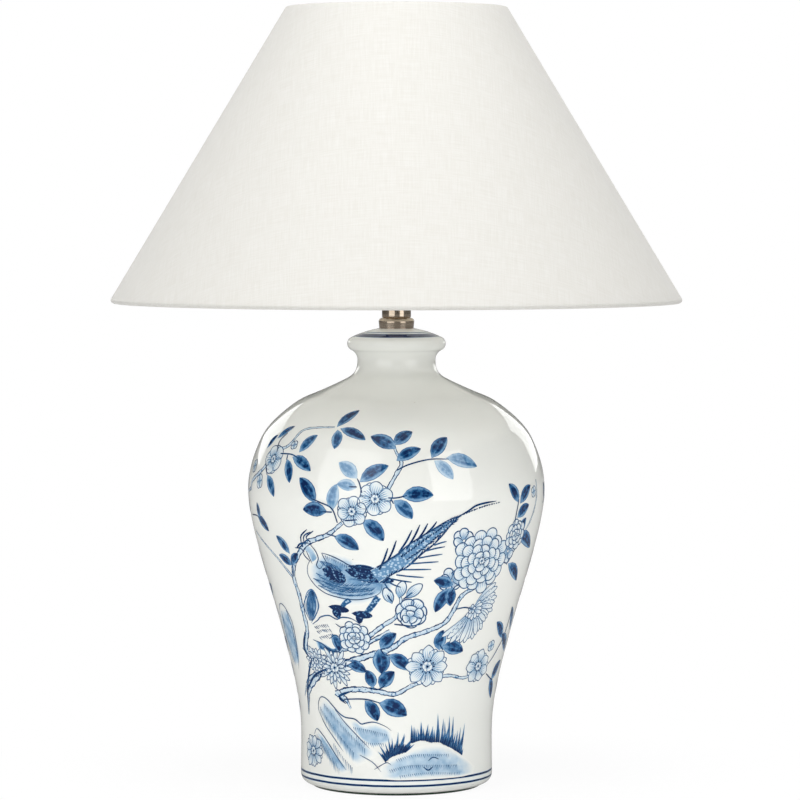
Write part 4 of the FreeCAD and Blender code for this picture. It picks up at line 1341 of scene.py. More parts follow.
class DotRing(Recipe):
    """Sets small round dots on a ring, as stamens stand in a flower."""

    def __init__(self) -> None:
        """Build the tree."""
        super().__init__("dot_ring", ["Radius", "Dot"], "Count")
        dot = self.node("GeometryNodeMeshCircle", {"fill_type": "NGON"}, {"Vertices": 7, "Radius": "Dot"})
        self.finish(self.ring(dot.outputs[0]))


class Canvas:
    """The jar's surface laid flat, and the marks on it, on the front and the back."""

    lowest = 0.035
    layer_step = 0.020
    mark_step = 0.005
    marks_in_layer = 4
    cell = 3.0
    sides = (0.0, math.pi)

    def __init__(self, shape: JarShape) -> None:
        """Start clean.

        Args:
            shape: The jar's outside.
        """
        self.shape = shape
        self.pots = {ink: InkPot() for ink in Ink}
        self.marks = 0
        self.bristles = BristleBrush()
        self.dots = DotRing()
        self.blank = bpy.data.materials.new("unpainted")

    def flat(self, spots: Row) -> np.ndarray:
        """Turn a row of degrees and heights into flat places, in millimetres at the belly's width."""
        rows = np.asarray(spots, float).reshape(-1, 2)
        return np.stack([np.radians(rows[:, 0]) * self.shape.belly, self.shape.along(rows[:, 1])], axis=1)

    def stretch(self, place: np.ndarray) -> np.ndarray:
        """How much wider a mark is drawn on the flat than it is on the jar."""
        return self.shape.belly / self.shape.radius(place[..., 1])

    def around(self, middle: np.ndarray, degrees: float, reach: float) -> np.ndarray:
        """The flat place at a real distance from another, in a direction."""
        angle = math.radians(degrees)
        return middle + reach * np.array([math.cos(angle) * float(self.stretch(middle)), math.sin(angle)])

    def lay(self, ink: Ink, places: np.ndarray, flats: np.ndarray, tones: np.ndarray,
            faces: Sequence[tuple[int, ...]], layer: Layer, over: float = 0.0) -> None:
        """Wrap one flat mark round the jar, on every side.

        Args:
            ink: The ink.
            places: The mark's points on the flat.
            flats: The mark's own map.
            tones: How dark each point is.
            faces: The mark's faces.
            layer: The layer that it belongs to.
            over: How far it lies over the mark before it; 0 starts a new mark.
        """
        self.marks += 0 if over else 1
        in_layer = self.marks % self.marks_in_layer * self.mark_step
        height = self.lowest + layer.value * self.layer_step + in_layer + over
        first = places[list(faces[0])]
        winding = np.sum(first[:, 0] * np.roll(first[:, 1], -1) - np.roll(first[:, 0], -1) * first[:, 1])
        ordered = [face if winding > 0 else face[::-1] for face in faces]
        lift = np.full(len(places), height)
        for side in self.sides:
            points, normals = self.shape.wrap(places[:, 0] / self.shape.belly + side, places[:, 1], lift)
            self.pots[ink].pour(points, normals, flats, tones, ordered)

    def grid(self, ink: Ink, places: np.ndarray, tones: Any, layer: Layer, over: float = 0.0) -> None:
        """Lay a sheet of points, rows along the stroke and columns over it.

        Args:
            ink: The ink.
            places: The points on the flat, by row and column.
            tones: How dark it is, or a tone for each point.
            layer: The layer.
            over: How far it lies over the mark before it.
        """
        rows, columns = places.shape[:2]
        along, across = np.meshgrid(np.linspace(0, 1, rows), np.linspace(0, 1, columns), indexing="ij")
        faces = [
            (row * columns + column, (row + 1) * columns + column,
             (row + 1) * columns + column + 1, row * columns + column + 1)
            for row in range(rows - 1) for column in range(columns - 1)
        ]
        flats = np.stack([along.ravel(), across.ravel()], axis=1)
        spread = np.broadcast_to(np.asarray(tones, float), (rows, columns)).ravel()
        self.lay(ink, places.reshape(-1, 2), flats, spread, faces, layer, over)

    def sides_of(self, line: np.ndarray, half_widths: np.ndarray, columns: int = 3) -> np.ndarray:
        """The points over a flat line, from its left to its right, in real half widths.

        Args:
            line: The line's places on the flat.
            half_widths: Half its real width at each place.
            columns: How many points go over it.

        Returns:
            The points, one row for each place of the line.
        """
        stretch = self.stretch(line)
        step = np.gradient(line, axis=0)
        run, rise = step[:, 0] / stretch, step[:, 1]
        size = np.maximum(np.hypot(run, rise), 1e-9)
        over = np.stack([-rise / size * stretch, run / size], axis=1)
        reach = np.linspace(1, -1, columns)[None, :, None]
        return line[:, None, :] + (over * half_widths[:, None])[:, None, :] * reach

    def band(self, ink: Ink, spots: Row, widths: Sequence[float], tone: float, layer: Layer,
             columns: int = 3, step: float = 1.8, knots: float = 0.0) -> None:
        """Lay a ribbon whose width changes evenly along it.

        Args:
            ink: The ink.
            spots: What it passes through.
            widths: Its widths, evenly spaced along it.
            tone: How dark it is.
            layer: The layer.
            columns: How many points go over it.
            step: How far apart its rows are.
            knots: How uneven its width is, as a share.
        """
        line = smooth_path(self.flat(spots), step)
        share = np.linspace(0, 1, len(line))
        wide = np.interp(share, np.linspace(0, 1, len(widths)), widths) / 2
        count = np.arange(len(line))
        wide = wide * (1 + knots * (np.sin(count * 0.9) + 0.7 * np.sin(count * 2.3 + 1.0)))
        self.grid(ink, self.sides_of(line, wide, columns), tone, layer)

    def stroke(self, spots: Row, width: float, tone: float = 1.0, layer: Layer = Layer.FINE,
               ends: tuple[float, float] = (0.5, 0.25)) -> None:
        """Draw a smooth stroke through spots, thinner at its ends."""
        widths = (width * ends[0], width, width, width, width * ends[1])
        self.band(Ink.LINE, spots, widths, tone, layer, step=2.4)

    def bough(self, spots: Row, widths: Sequence[float]) -> None:
        """Draw a branch, its edges knotted."""
        self.band(Ink.BARK, spots, widths, 1.0, Layer.BRANCH, knots=0.11)

    def blade(self, ink: Ink, start: np.ndarray, end: np.ndarray, width: float, tone: float, layer: Layer,
              belly: float = 0.45, bend: float = 0.0, tip: float = 1.0, outline: float = 0.0) -> None:
        """Draw a leaf or a petal between two flat places.

        Args:
            ink: The ink.
            start: Where it grows from.
            end: Its tip.
            width: Its real width.
            tone: How dark it is.
            layer: The layer.
            belly: Where along it is widest, from 0 to 1.
            bend: How far it bows to its left, as a share of its length.
            tip: How pointed its tip is; 0.5 is round.
            outline: The width of the line round it; 0 draws none.
        """
        rows = 9
        share = np.sin(np.linspace(0, 0.5 * math.pi, rows))
        stretch = float(self.stretch(start))
        bow = np.array([-(end[1] - start[1]) * stretch, (end[0] - start[0]) / stretch]) * bend
        line = start + np.outer(share, end - start) + np.outer(np.sin(math.pi * share), bow)
        rise = np.sin(0.5 * math.pi * np.minimum(share / belly, 1.0)) ** 0.85
        fall = np.maximum(1 - (np.maximum(share - belly, 0) / (1 - belly)) ** 2, 0) ** tip
        places = self.sides_of(line, np.maximum(width / 2 * rise * fall, 0.04), 5)
        self.grid(ink, places, tone, layer)
        if outline:
            edge = np.concatenate([places[1:, 0], places[-2::-1, -1]])
            swell = np.linspace(0.5, 1, rows - 1)
            half = outline / 2 * np.concatenate([swell, swell[::-1]])
            self.grid(Ink.LINE, self.sides_of(edge, half), 0.94 * tone, layer, self.mark_step / 2)

    def leaf(self, spots: Row, width: float, tone: float) -> None:
        """Draw one leaf from its base to its tip, bowed upwards."""
        start, end = self.flat(spots)
        bend = 0.06 if start[0] < end[0] else -0.06
        self.blade(Ink.LEAF, start, end, width * 1.36, tone, Layer.LEAVES, belly=0.46, bend=bend, tip=0.80)

    def rosette(self, centre: Spot, inner: float, outer: float, count: int, width: float, layer: Layer,
                first: float = 0.0, arc: float = FULL_TURN_DEGREES, tip: float = 0.5, tone: float = 0.95,
                outline: float = 0.85, uneven: float = 0.05) -> None:
        """Draw petals round a centre.

        Args:
            centre: The flower's middle.
            inner: Where the petals start.
            outer: Where they end.
            count: How many there are.
            width: Each petal's width.
            layer: The layer.
            first: The first petal's direction in degrees.
            arc: How far round the petals go.
            tip: How pointed the tips are; 0.5 is round.
            tone: How dark their lines are.
            outline: How wide their outlines are.
            uneven: How uneven their lengths are, as a share.
        """
        middle = self.flat(centre)[0]
        parts = count if abs(arc) >= FULL_TURN_DEGREES else count - 1
        for index in range(count):
            degrees = first + arc * index / parts
            reach = outer * (1 + uneven * math.sin(index * 2.4 + first))
            start, end = self.around(middle, degrees, inner), self.around(middle, degrees, reach)
            bend = 0.05 * math.sin(index * 1.7)
            self.blade(Ink.PETAL, start, end, width, tone, layer, 0.64, bend, tip, outline)

    def dot_ring(self, centre: Spot, radius: float, count: int, dot: float, tone: float) -> None:
        """Set dots round a centre.

        Args:
            centre: The middle.
            radius: The ring's radius.
            count: How many dots there are.
            dot: Each dot's radius.
            tone: How dark they are.
        """
        mesh = self.dots.run(bpy.data.meshes.new("blank"), {
            "Radius": radius * MM, "Dot": dot * MM, "Count": count, "Finish": self.blank,
        })
        middle = self.flat(centre)[0]
        places = middle + self.read(mesh) * np.array([float(self.stretch(middle)), 1.0])
        faces = [tuple(polygon.vertices) for polygon in mesh.polygons]
        flats = np.full((len(places), 2), 0.5)
        self.lay(Ink.LINE, places, flats, np.full(len(places), tone), faces, Layer.FINE)

    def read(self, mesh: bpy.types.Mesh) -> np.ndarray:
        """A node-built mesh's flat places in millimetres."""
        places = np.zeros(len(mesh.vertices) * 3, np.float32)
        mesh.vertices.foreach_get("co", places)
        return places.reshape(-1, 3)[:, :2].astype(float) / MM

    def bristle(self, spots: Row, spacing: float, length: float, width: float, lean: float,
                spread: float = 8.0, curl: float = 0.1, tones: tuple[float, float] = (1.0, 0.8),
                fan: float = 0.0, layer: Layer = Layer.FINE) -> None:
        """Draw a row of tapered strokes along a line.

        Args:
            spots: The line that they grow from.
            spacing: How far apart they are.
            length: How long they are.
            width: How wide each is at its root.
            lean: Their angle from the line in degrees.
            spread: How far they stray from it.
            curl: How far each bows, as a share of its length.
            tones: How dark the root and the tip are.
            fan: How far the first and the last lean apart.
            layer: The layer.
        """
        line = smooth_path(self.flat(spots), 1.5)
        mesh = self.bristles.run(route([(x, y, 0.0) for x, y in line]), {
            "Spacing": spacing * MM, "Length": length * MM, "Slimness": width / length, "Curl": curl,
            "Lean": math.radians(lean), "Fan": math.radians(fan), "Spread": math.radians(spread),
            "Seed": 1 + self.marks, "Finish": self.blank,
        })
        corners = np.zeros(len(mesh.loops), np.int32)
        mesh.loops.foreach_get("vertex_index", corners)
        map_values = np.zeros(len(mesh.loops) * 2, np.float32)
        mesh.attributes["stroke"].data.foreach_get("vector", map_values)
        flats = np.zeros((len(mesh.vertices), 2))
        flats[corners] = map_values.reshape(-1, 2)
        tone = tones[0] + (tones[1] - tones[0]) * flats[:, 0]
        faces = [tuple(polygon.vertices) for polygon in mesh.polygons]
        self.lay(Ink.LINE, self.read(mesh), flats, tone, faces, layer)

    def between(self, first: Row, second: Row, tones: tuple[float, float], layer: Layer) -> None:
        """Wash the ground between two lines, from one tone to another.

        Args:
            first: One line.
            second: The other line.
            tones: How dark it is at the first line and at the second.
            layer: The layer.
        """
        lines = [smooth_path(self.flat(spots), 0.8) for spots in (first, second)]
        rows = int(max(len(line) for line in lines) * 0.8 / self.cell) + 2
        near, far = (line[np.linspace(0, len(line) - 1, rows).round().astype(int)] for line in lines)
        columns = int(np.linalg.norm(near - far, axis=1).max() / self.cell) + 2
        share = np.linspace(0, 1, columns)
        places = near[:, None, :] * (1 - share)[None, :, None] + far[:, None, :] * share[None, :, None]
        self.grid(Ink.WASH, places, (tones[0] + (tones[1] - tones[0]) * share)[None, :], layer)


class BirdAndPeonies(Canvas):
    """The painted garden: a long-tailed bird on an old bough, with peonies, plum blossom and rocks."""

    def paint(self, shop: Workshop) -> None:
        """Paint everything, back to front, and hang each ink's marks as a piece.

        Args:
            shop: The workshop that places the pieces.
        """
        for part in (self.rocks, self.boughs, self.bird, self.leaves, self.blossoms, self.peonies,
                     self.grass, self.between_sides):
            part()
        for ink, pot in self.pots.items():
            shop.place(pot.piece("painted_" + ink.value), "cobalt_" + ink.value, "root", [], "glaze")
            LOG.info("the %s marks have %d faces", ink.value, len(pot.faces))

    def rocks(self) -> None:
        """The slanting rocks, the mound, the old trunk and the far rock at the left."""
        for first, second, tones in (
            ((-52, 76, -49, 66, -44, 57, -38, 47, -30, 34, -24, 25), (-46, 84, -42, 81, -33, 69, -24, 57,
              -15, 44, -10, 36), (0.38, 0.16)),
            ((-30, 64, -25, 66, -20, 62, -13, 64, -7, 61, -2, 56), (-24, 54, -19, 47, -14, 43, -9, 44, -5,
              47, -2, 49), (0.2, 0.34)),
            ((-57, 54, -50, 50, -42, 40, -33, 28, -28, 21), (-50, 40, -45, 30, -38, 22, -34, 18), (0.4,
              0.2)),
            ((-12, 22, -4, 32, 5, 39, 14, 44, 24, 45, 34, 41, 45, 31, 54, 22), (-9, 16, -1, 15, 8, 15, 18,
              15, 30, 15, 42, 15, 52, 16), (0.16, 0.34)),
            ((-62, 160, -60, 141, -61, 120, -66, 108), (-75, 160, -79, 137, -76, 118, -71, 107), (0.4,
              0.22)),
            ((-45, 135, -39, 133, -34, 129, -30, 132), (-44, 127, -39, 125, -34, 122, -30, 125), (0.7,
              0.6)),
        ):
            self.between(first, second, tones, Layer.ROCK)
        for line, width in (
            ((-52, 72, -51, 79, -48, 84, -44, 83, -40, 78, -35, 71, -31, 68, -25, 67, -21, 63, -18, 64, -13,
              65, -7, 62, -3, 58), 1.1),
            ((-74, 157, -70, 163, -65, 161, -61, 150, -61, 138, -63, 122, -67, 106), 1),
            ((-74, 157, -78, 143, -77, 128, -73, 108), 0.9), ((-38, 74, -32, 64, -24, 53, -16, 42), 0.8),
            ((-52, 72, -47, 60, -40, 49, -33, 38), 0.8),
            ((-58, 50, -55, 55, -50, 51, -44, 43, -36, 30, -31, 22), 1), ((-22, 36, -14, 30, -9, 22), 0.7),
            ((-13, 24, -6, 30, -3, 28), 0.7),
            ((-44, 149, -40, 153, -38, 156, -33, 158, -29, 155, -26, 157, -21, 156, -17, 151), 1.2),
            ((-46, 135, -40, 132, -36, 127, -31, 126, -28, 130), 1.3), ((-30, 151, -27, 148, -24, 150), 0.9),
            ((-35, 137, -31, 141, -28, 137), 0.9), ((16, 26, 19, 23, 22, 26), 1.2),
            ((19, 31, 22, 34, 26, 32), 1),
        ):
            self.stroke(line, width, 0.90)
        for line, length in (
            ((-50, 75, -44, 64, -36, 52, -26, 38), 8), ((-46, 78, -39, 68, -30, 56, -19, 42), 7),
            ((-55, 50, -47, 40, -38, 27), 8), ((-51, 44, -44, 33, -36, 23), 7),
            ((-40, 44, -33, 33, -27, 25), 7), ((-26, 60, -16, 58, -6, 55), 6),
            ((-24, 52, -17, 47, -8, 47), 5), ((0, 33, 11, 37, 32, 36), 4.6),
            ((-4, 24, 10, 28, 38, 26), 5), ((2, 19, 18, 21, 40, 19), 3.6),
        ):
            self.bristle(line, 2.7, length, 0.85, -64.0, spread=9.0, curl=0.06, tones=(0.82, 0.36))
        for line in (
            (-43, 147, -39, 149, -35, 150), (-42, 143, -38, 145, -34, 146), (-41, 138, -37, 140, -33, 142),
        ):
            self.bristle(line, 2.4, 4.6, 0.9, -50.0, spread=12.0, tones=(0.95, 0.8))
        for line, length in (((-64, 158, -63, 140, -65, 116), 8.0), ((-71, 156, -74, 136, -72, 114), 9.0)):
            self.bristle(line, 2.8, length, 1.3, 12.0, spread=14.0, tones=(0.75, 0.45))

    def boughs(self) -> None:
        """The old trunk, its boughs and every stem."""
        for spots, widths in (
            ((-56, 127, -50, 117, -46, 106, -52, 98, -60, 86, -64, 66), (3.5, 5, 7, 6.5, 4.5, 1.8)),
            ((-30, 111, -38, 110, -47, 106), (4, 6.5, 6.5)), ((-48, 105, -58, 97, -66, 82), (5, 3.4, 1.2)),
            ((-21, 240, -27, 230, -33, 225, -38, 221, -43, 212, -48, 200, -50, 188, -49, 174, -49, 160, -49,
              143, -53, 126, -49, 114), (3.2, 4.4, 5.2, 5, 4.6, 5, 4.8, 4.6, 5.4)),
            ((-78, 226, -67, 215, -59, 205, -54, 196, -50, 188), (1.8, 2.2, 3)),
            ((-77, 262, -75, 270, -65, 281, -57, 297, -50, 304, -46, 316, -39, 319, -29, 320), (4, 4,
              3.4, 2.6, 1.6)),
            ((-3, 270, 0, 282, 2, 291, 0, 300, -1, 305), (3.4, 3.8, 2.2)),
            ((-14, 140, -6, 151, 0, 159, 2, 173, 0, 181), (4.6, 4, 2)),
            ((-34, 112, -26, 117, -12, 125, -3, 130, 5, 140, 14, 145, 23, 152, 27, 163, 30, 175, 36, 182, 45,
              187), (7.5, 6, 5.2, 4.6, 4.4, 4)),
            ((-36, 88, -26, 93, -13, 93, -1, 90, 8, 97, 17, 102), (6, 5.2, 4.4, 3.2)),
            ((-36, 90, -30, 84, -27, 76), (6.5, 5, 1.5)),
            ((22, 104, 30, 105, 39, 102, 48, 105), (3.6, 3, 2.6)),
            ((69, 272, 69, 255, 66, 239, 62, 228), (1.8, 2.6, 2)),
            ((-31, 127, -22, 131, -12, 137, -3, 146), (5, 5, 3.4)),
        ):
            self.bough(spots, widths)
        for bark in (
            (-50, 118, -54, 108, -57, 100, -61, 87, -64, 68), (-40, 110, -50, 103, -56, 95, -60, 88),
            (-51, 141, -55, 126, -51, 117), (-27, 91, -34, 86, -30, 80),
        ):
            self.stroke(bark, 2.3, 0.95)
        for stem in (
            (-54, 296, -47, 296, -42, 293), (-57, 297, -58, 306, -55, 313), (-49, 296, -49, 291),
            (0, 285, 5, 290, 13, 294, 21, 294), (-13, 266, -14, 274, -15, 278), (-1, 152, 8, 150),
            (-15, 271, -18, 271), (-3, 262, 0, 262, 4, 264), (-2, 261, -1, 257),
            (-23, 240, -25, 252, -30, 257, -34, 260), (-25, 249, -29, 249), (-20, 242, -15, 243),
            (-28, 230, -24, 228), (-50, 190, -49, 197, -49, 206), (-36, 222, -38, 226, -34, 232),
            (28, 164, 33, 165, 37, 163), (24, 176, 26, 184, 28, 185), (54, 257, 53, 242, 53, 232),
            (71, 160, 70, 137, 63, 120, 58, 112), (-31, 84, -18, 85, -9, 82), (-27, 117, -28, 112),
            (-15, 95, -10, 94, -6, 98), (-8, 130, -6, 125, -3, 125), (22, 133, 24, 128), (54, 206, 53, 200),
            (-60, 277, -62, 284), (-78, 240, -70, 240, -66, 234), (58, 103, 64, 98, 68, 96),
            (-2, 172, -4, 178), (3, 174, 7, 180),
        ):
            self.stroke(stem, 1.25, 0.95, ends=(0.9, 0.6))

    def bird(self) -> None:
        """The long-tailed bird, facing left, with its dark breast and wing."""
        upper = (-8, 202, -3, 209, 0, 213, 5, 222, 10.5, 230, 15, 236, 20.5, 243, 24, 245.5)
        lower = (-6, 189, -1.5, 196, 2.5, 200, 5.5, 204, 10.5, 214, 14, 220, 18, 229, 21, 237, 24, 244)
        for ink, spots, widths, tone, layer in (
            (Ink.WASH, (-40, 196, -35, 194, -30, 194, -25, 191.5, -20, 188, -15, 188, -8, 190, 0, 195), (14,
              32, 44, 46, 42, 36, 26, 15), 0.38, Layer.BRANCH),
            (Ink.WASH, (-35, 203, -36, 209, -37, 214, -40, 218, -42, 217), (9, 9, 8, 8, 4), 0.34,
              Layer.ROCK),
            (Ink.FEATHER, (-9, 194, -2, 203, 3, 210, 8, 219, 13, 228, 18, 236, 22, 242, 24, 245), (13, 13,
              14, 13, 11, 8, 5, 2), 0.52, Layer.LEAVES),
            (Ink.FEATHER, (-8, 176, -11, 168, -14.5, 160), (6.0, 5.5, 4.5), 0.80, Layer.PLUMAGE),
            (Ink.FEATHER, (-21, 173, -24, 169, -26, 164), (5.5, 4.5, 4.0), 0.70, Layer.PLUMAGE),
        ):
            self.band(ink, spots, widths, tone, layer, columns=7)
        for line, spacing, length, lean in (
            ((-38, 190, -31, 182, -21, 179, -11, 181), 1.8, 9, 22),
            ((-36, 184, -29, 178, -20, 176, -11, 178), 1.8, 8, 18),
            ((-36, 195, -33, 190, -24, 185, -12, 186), 2, 9, 25),
            ((-30, 211, -25, 207, -21, 203), 1.9, 6, -60),
            ((-32, 186, -24, 181, -13, 182), 1.5, 9, 20),
            ((-34, 188, -27, 184, -20, 182), 1.5, 8, 24),
            ((-33, 206, -29, 205, -25, 202), 1.5, 7, -50),
            ((-20, 191, -12, 190, -5, 192), 1.5, 7, 14),
        ):
            self.bristle(line, spacing, length, 0.9, lean, spread=9.0, curl=0.08, tones=(0.85, 0.5),
                         layer=Layer.LEAVES)
        for *spots, width, tone in (
            (-32.5, 199, -22, 189, 18, 1.25), (-30, 204, -26, 186, 15, 1.25),
            (-27, 202, -23, 188, 9, 1.3), (-22, 199, -5, 191, 14, 1.25), (-20.5, 202, -7, 198, 8.5, 1.3),
            (-17, 195, -1, 190, 9, 1.1), (-21, 161, -11, 159, 7, 1.5), (-17, 163, -17.5, 152, 7, 1.5),
            (-32.5, 166, -22, 163, 7, 1.5), (-29, 167, -28, 156, 9, 1.5),
        ):
            self.blade(Ink.FEATHER, *self.flat(spots), width, tone, Layer.LEAVES, belly=0.5, tip=0.6)
        for line, width in (
            ((-31.5, 213, -29, 212, -25.5, 209.5, -22, 206, -19, 203, -10, 200.5, -8, 202), 1.1),
            ((-38, 206, -40, 200, -40.5, 193, -38.5, 186, -35, 180, -30, 176, -20, 173, -12, 175, -7, 180,
              -6, 189), 0.95),
            ((-37, 221, -34.5, 215, -33.5, 208, -35, 202, -33.5, 199, -31.5, 203), 1),
            ((-31.5, 213, -30.5, 208, -29.5, 204), 0.9), ((-39, 214, -38, 208, -37, 203), 0.9),
            ((-44, 216, -42, 219.5, -39.5, 221, -37, 221), 1.8), ((-45, 216, -42, 216, -40, 213), 1.2),
            ((-41, 221, -40.5, 227, -37, 233), 1.5), ((-39.5, 221, -39, 227, -35.5, 231), 1.3),
            ((-41, 215, -40.5, 210, -38, 205), 1.1), (upper, 1.1), (lower, 1.0),
            ((24, 245, 28, 249.5, 31.5, 254, 36, 256, 41, 257), 1.7),
        ):
            self.stroke(line, width, 0.97)
        self.dot_ring((-40.6, 218.0), 0.25, 3, 0.8, 1.0)
        tail_end = (25, 246, 30, 250, 36, 253.5, 42, 255.5)
        self.bristle(tail_end, 2.5, 2.6, 1.4, 0.0, spread=4.0, curl=0.0, tones=(1.0, 1.0))
        for lean, line in (
            (26.0, (2, 211, 8, 220, 14, 230, 23, 243)), (-20.0, upper), (20.0, lower),
            (-26, (4, 209, 10, 218, 16, 229, 23, 242)),
        ):
            self.bristle(line, 2.6, 4.6, 1.5, lean, spread=16.0, tones=(1.05, 0.9))
        for x, z, end_x, end_z in (
            (-7, 200, -3.3, 219), (-3.6, 207, 0, 225.5), (1, 215, 6, 234.5), (4, 218, 9, 239),
            (8, 225, 12, 240), (11.5, 231, 15.5, 241.5),
        ):
            middle = (x * 0.42 + end_x * 0.58, (z + end_z) / 2)
            self.stroke((x, z, *middle, end_x, end_z), 1.7, 1.0, ends=(1.0, 0.45))
        for x, z, end_x, end_z in (
            (15, 221, 20, 224), (11.5, 216, 19.5, 219.5), (9, 210, 18.7, 213), (5, 205, 17.3, 206.5),
            (1.5, 200, 14.5, 200), (0, 195.5, 11.5, 193), (-2, 192, 6.5, 189), (-4, 190, 2, 184.5),
            (-5, 188, -2, 180),
        ):
            middle = ((x + end_x) / 2, z * 0.4 + end_z * 0.6)
            self.stroke((x, z, *middle, end_x, end_z), 1.35, 0.86, ends=(1.0, 0.5))
        ends = self.flat((-45, 150, -40, 180))
        self.blade(Ink.WASH, *ends, 15.0, 0.66, Layer.BIRD, belly=0.55, tip=0.6, outline=1.2)
        for shift in (-4.8, -2.9, -1.0, 1.0, 2.9, 4.6):
            barb = (-44.5 + shift * 0.2, 152, -42.5 + shift, 165, -40.5 + shift * 0.3, 178)
            self.stroke(barb, 0.95, 0.80)

    def leaves(self) -> None:
        """Every leaf, from its stalk to its tip, with its width and how dark it is."""
        for *spots, width, tone in (
            (-28, 320, -20, 334, 7.2, 0.95), (-26, 319, -13, 310, 7.2, 0.95), (-27, 318, -26, 302, 7.5, 0.8),
            (-61, 308, -53, 319, 5.5, 0.95), (-67, 299, -62, 311, 4.5, 0.95),
            (-43, 298, -36, 313, 7.4, 0.85), (-46, 294, -35, 283, 7.8, 0.88),
            (-49, 292, -45, 272, 7.4, 0.88), (-60, 277, -54, 259, 7.6, 0.82), (-68, 238, -69, 252, 6, 0.9),
            (-70, 240, -61, 228, 7, 1), (-49, 210, -56, 225, 7, 0.9), (-49, 200, -57, 208, 6.4, 1),
            (-49, 201, -44, 211, 6, 1), (0, 303, -11, 313, 9.6, 0.95), (-1, 306, 7, 317, 8.6, 0.95),
            (0, 293, 10, 303, 8, 0.88), (14, 295, 22, 312, 8.8, 0.95), (20, 295, 33, 287, 9.2, 0.62),
            (15, 293, 22, 277, 8.4, 0.5), (-15, 278, -23, 291, 9.2, 0.5), (-15, 270, -23, 273, 7.4, 0.5),
            (-14, 275, -3, 289, 9, 0.88), (-25, 250, -23, 273, 8.6, 0.56), (-32, 256, -40, 277, 9.6, 1),
            (-27, 249, -38, 250, 9.6, 1), (2, 263, 14, 264, 10, 0.92), (-1, 260, 6, 244, 9, 0.78),
            (-13, 243, -5, 225, 10.4, 0.88), (-25, 228, -15, 217, 9.6, 0.88), (54, 254, 48, 271, 7.6, 0.95),
            (55, 253, 63, 268, 7.8, 0.95), (54, 241, 62, 251, 8, 0.95), (57, 223, 61, 240, 8.2, 0.9),
            (56, 227, 72, 212, 9.4, 0.95), (54, 201, 66, 184, 8, 0.92), (25, 185, 16, 190, 8, 0.95),
            (24, 183, 18, 162, 9, 0.95), (25, 184, 25, 167, 7.8, 0.95), (22, 128, 23, 146, 8.6, 0.9),
            (23, 131, 36, 126, 9.6, 0.95), (67, 133, 57, 149, 7, 0.95), (80, 119, 66, 137, 7.6, 0.95),
            (66, 96, 76, 112, 8.4, 0.95), (64, 98, 71, 79, 7, 0.95), (79, 138, 70, 160, 6.4, 0.85),
            (-8, 130, 0, 144, 8.6, 0.92), (-9, 130, -8, 108, 11.4, 0.88), (-4, 125, 7, 111, 9.2, 0.92),
            (-13, 95, -16, 111, 7.8, 0.95), (-9, 95, -1, 110, 9.2, 0.92), (-27, 117, -16, 109, 7.8, 0.95),
            (-33, 142, -30, 126, 6.6, 0.92), (-18, 84, -11, 66, 9.2, 1), (-10, 82, 6, 71, 11.6, 0.97),
        ):
            self.leaf(spots, width, tone)

    def blossom(self, centre: Spot, size: float, count: int, first: float,
                tip: float = 0.5) -> None:
        """One open blossom: white petals over a few hidden ones, and a heart of dotted stamens."""
        wide = size * math.tan(math.pi / count) * 1.32
        self.rosette(centre, size * 0.2, size * 0.92, count, wide * 0.8, Layer.OUTER_PETALS,
                       first + FULL_TURN_DEGREES / count / 2, tip=tip)
        self.rosette(centre, size * 0.12, size, count, wide, Layer.MIDDLE_PETALS, first, tip=tip)
        self.heart(centre, size * 0.24)

    def heart(self, centre: Spot, size: float) -> None:
        """A blue heart with a ring of dark stamens and pale dots."""
        self.rosette(centre, 0.0, size, 6, size * 1.3, Layer.HEART, 10.0, outline=0.5)
        self.dot_ring(centre, size * 1.30, 11, size * 0.20, 1.0)
        self.dot_ring(centre, size * 0.72, 6, size * 0.26, 0.08)
        self.dot_ring(centre, size * 0.05, 3, size * 0.24, 0.95)

    def blossoms(self) -> None:
        """The plum blossoms on the boughs, and the buds."""
        for centre, size, count, first, tip in (
            ((-17, 250), 13.6, 6, 75, 0.6), ((-8, 261), 15, 6, 20, 0.6),
            ((-58, 291), 13.4, 5, 40, 0.55), ((16.3, 114), 19, 8, 90, 0.9),
            ((49, 111), 15, 7, 30, 0.85), ((-59, 35), 14.5, 9, 0, 0.8),
        ):
            self.blossom(centre, size, count, first, tip)
        for centre, size in (
            ((-66, 271), 6.5), ((-75, 283), 6), ((-47, 304), 4), ((66, 262), 5), ((57, 128), 5),
        ):
            self.rosette(centre, 0.2, size, 4, size * 1.1, Layer.OUTER_PETALS, 60.0)

    def peony(self, centre: Spot, size: float, petal: float, rings: int) -> None:
        """A full peony: rings of small round petals, the inner over the outer, round a tight heart.

        Args:
            centre: The middle.
            size: Its radius.
            petal: How wide its outer petals are.
            rings: How many rings of petals it has.
        """
        layers = tuple(Layer)[-2 - rings:-2]
        for ring, layer in enumerate(layers):
            outer = size * (1 - ring / rings * 0.90)
            count = max(5, round(TURN * outer / petal * 0.84))
            width = petal * (1 - 0.32 * ring / rings)
            inner = max(outer - width * 1.3, 0.0)
            self.rosette(centre, inner, outer, count, width * 1.15, layer, 17.0 * ring, outline=1.05,
                           uneven=0.07)
        self.heart(centre, size * 0.10)

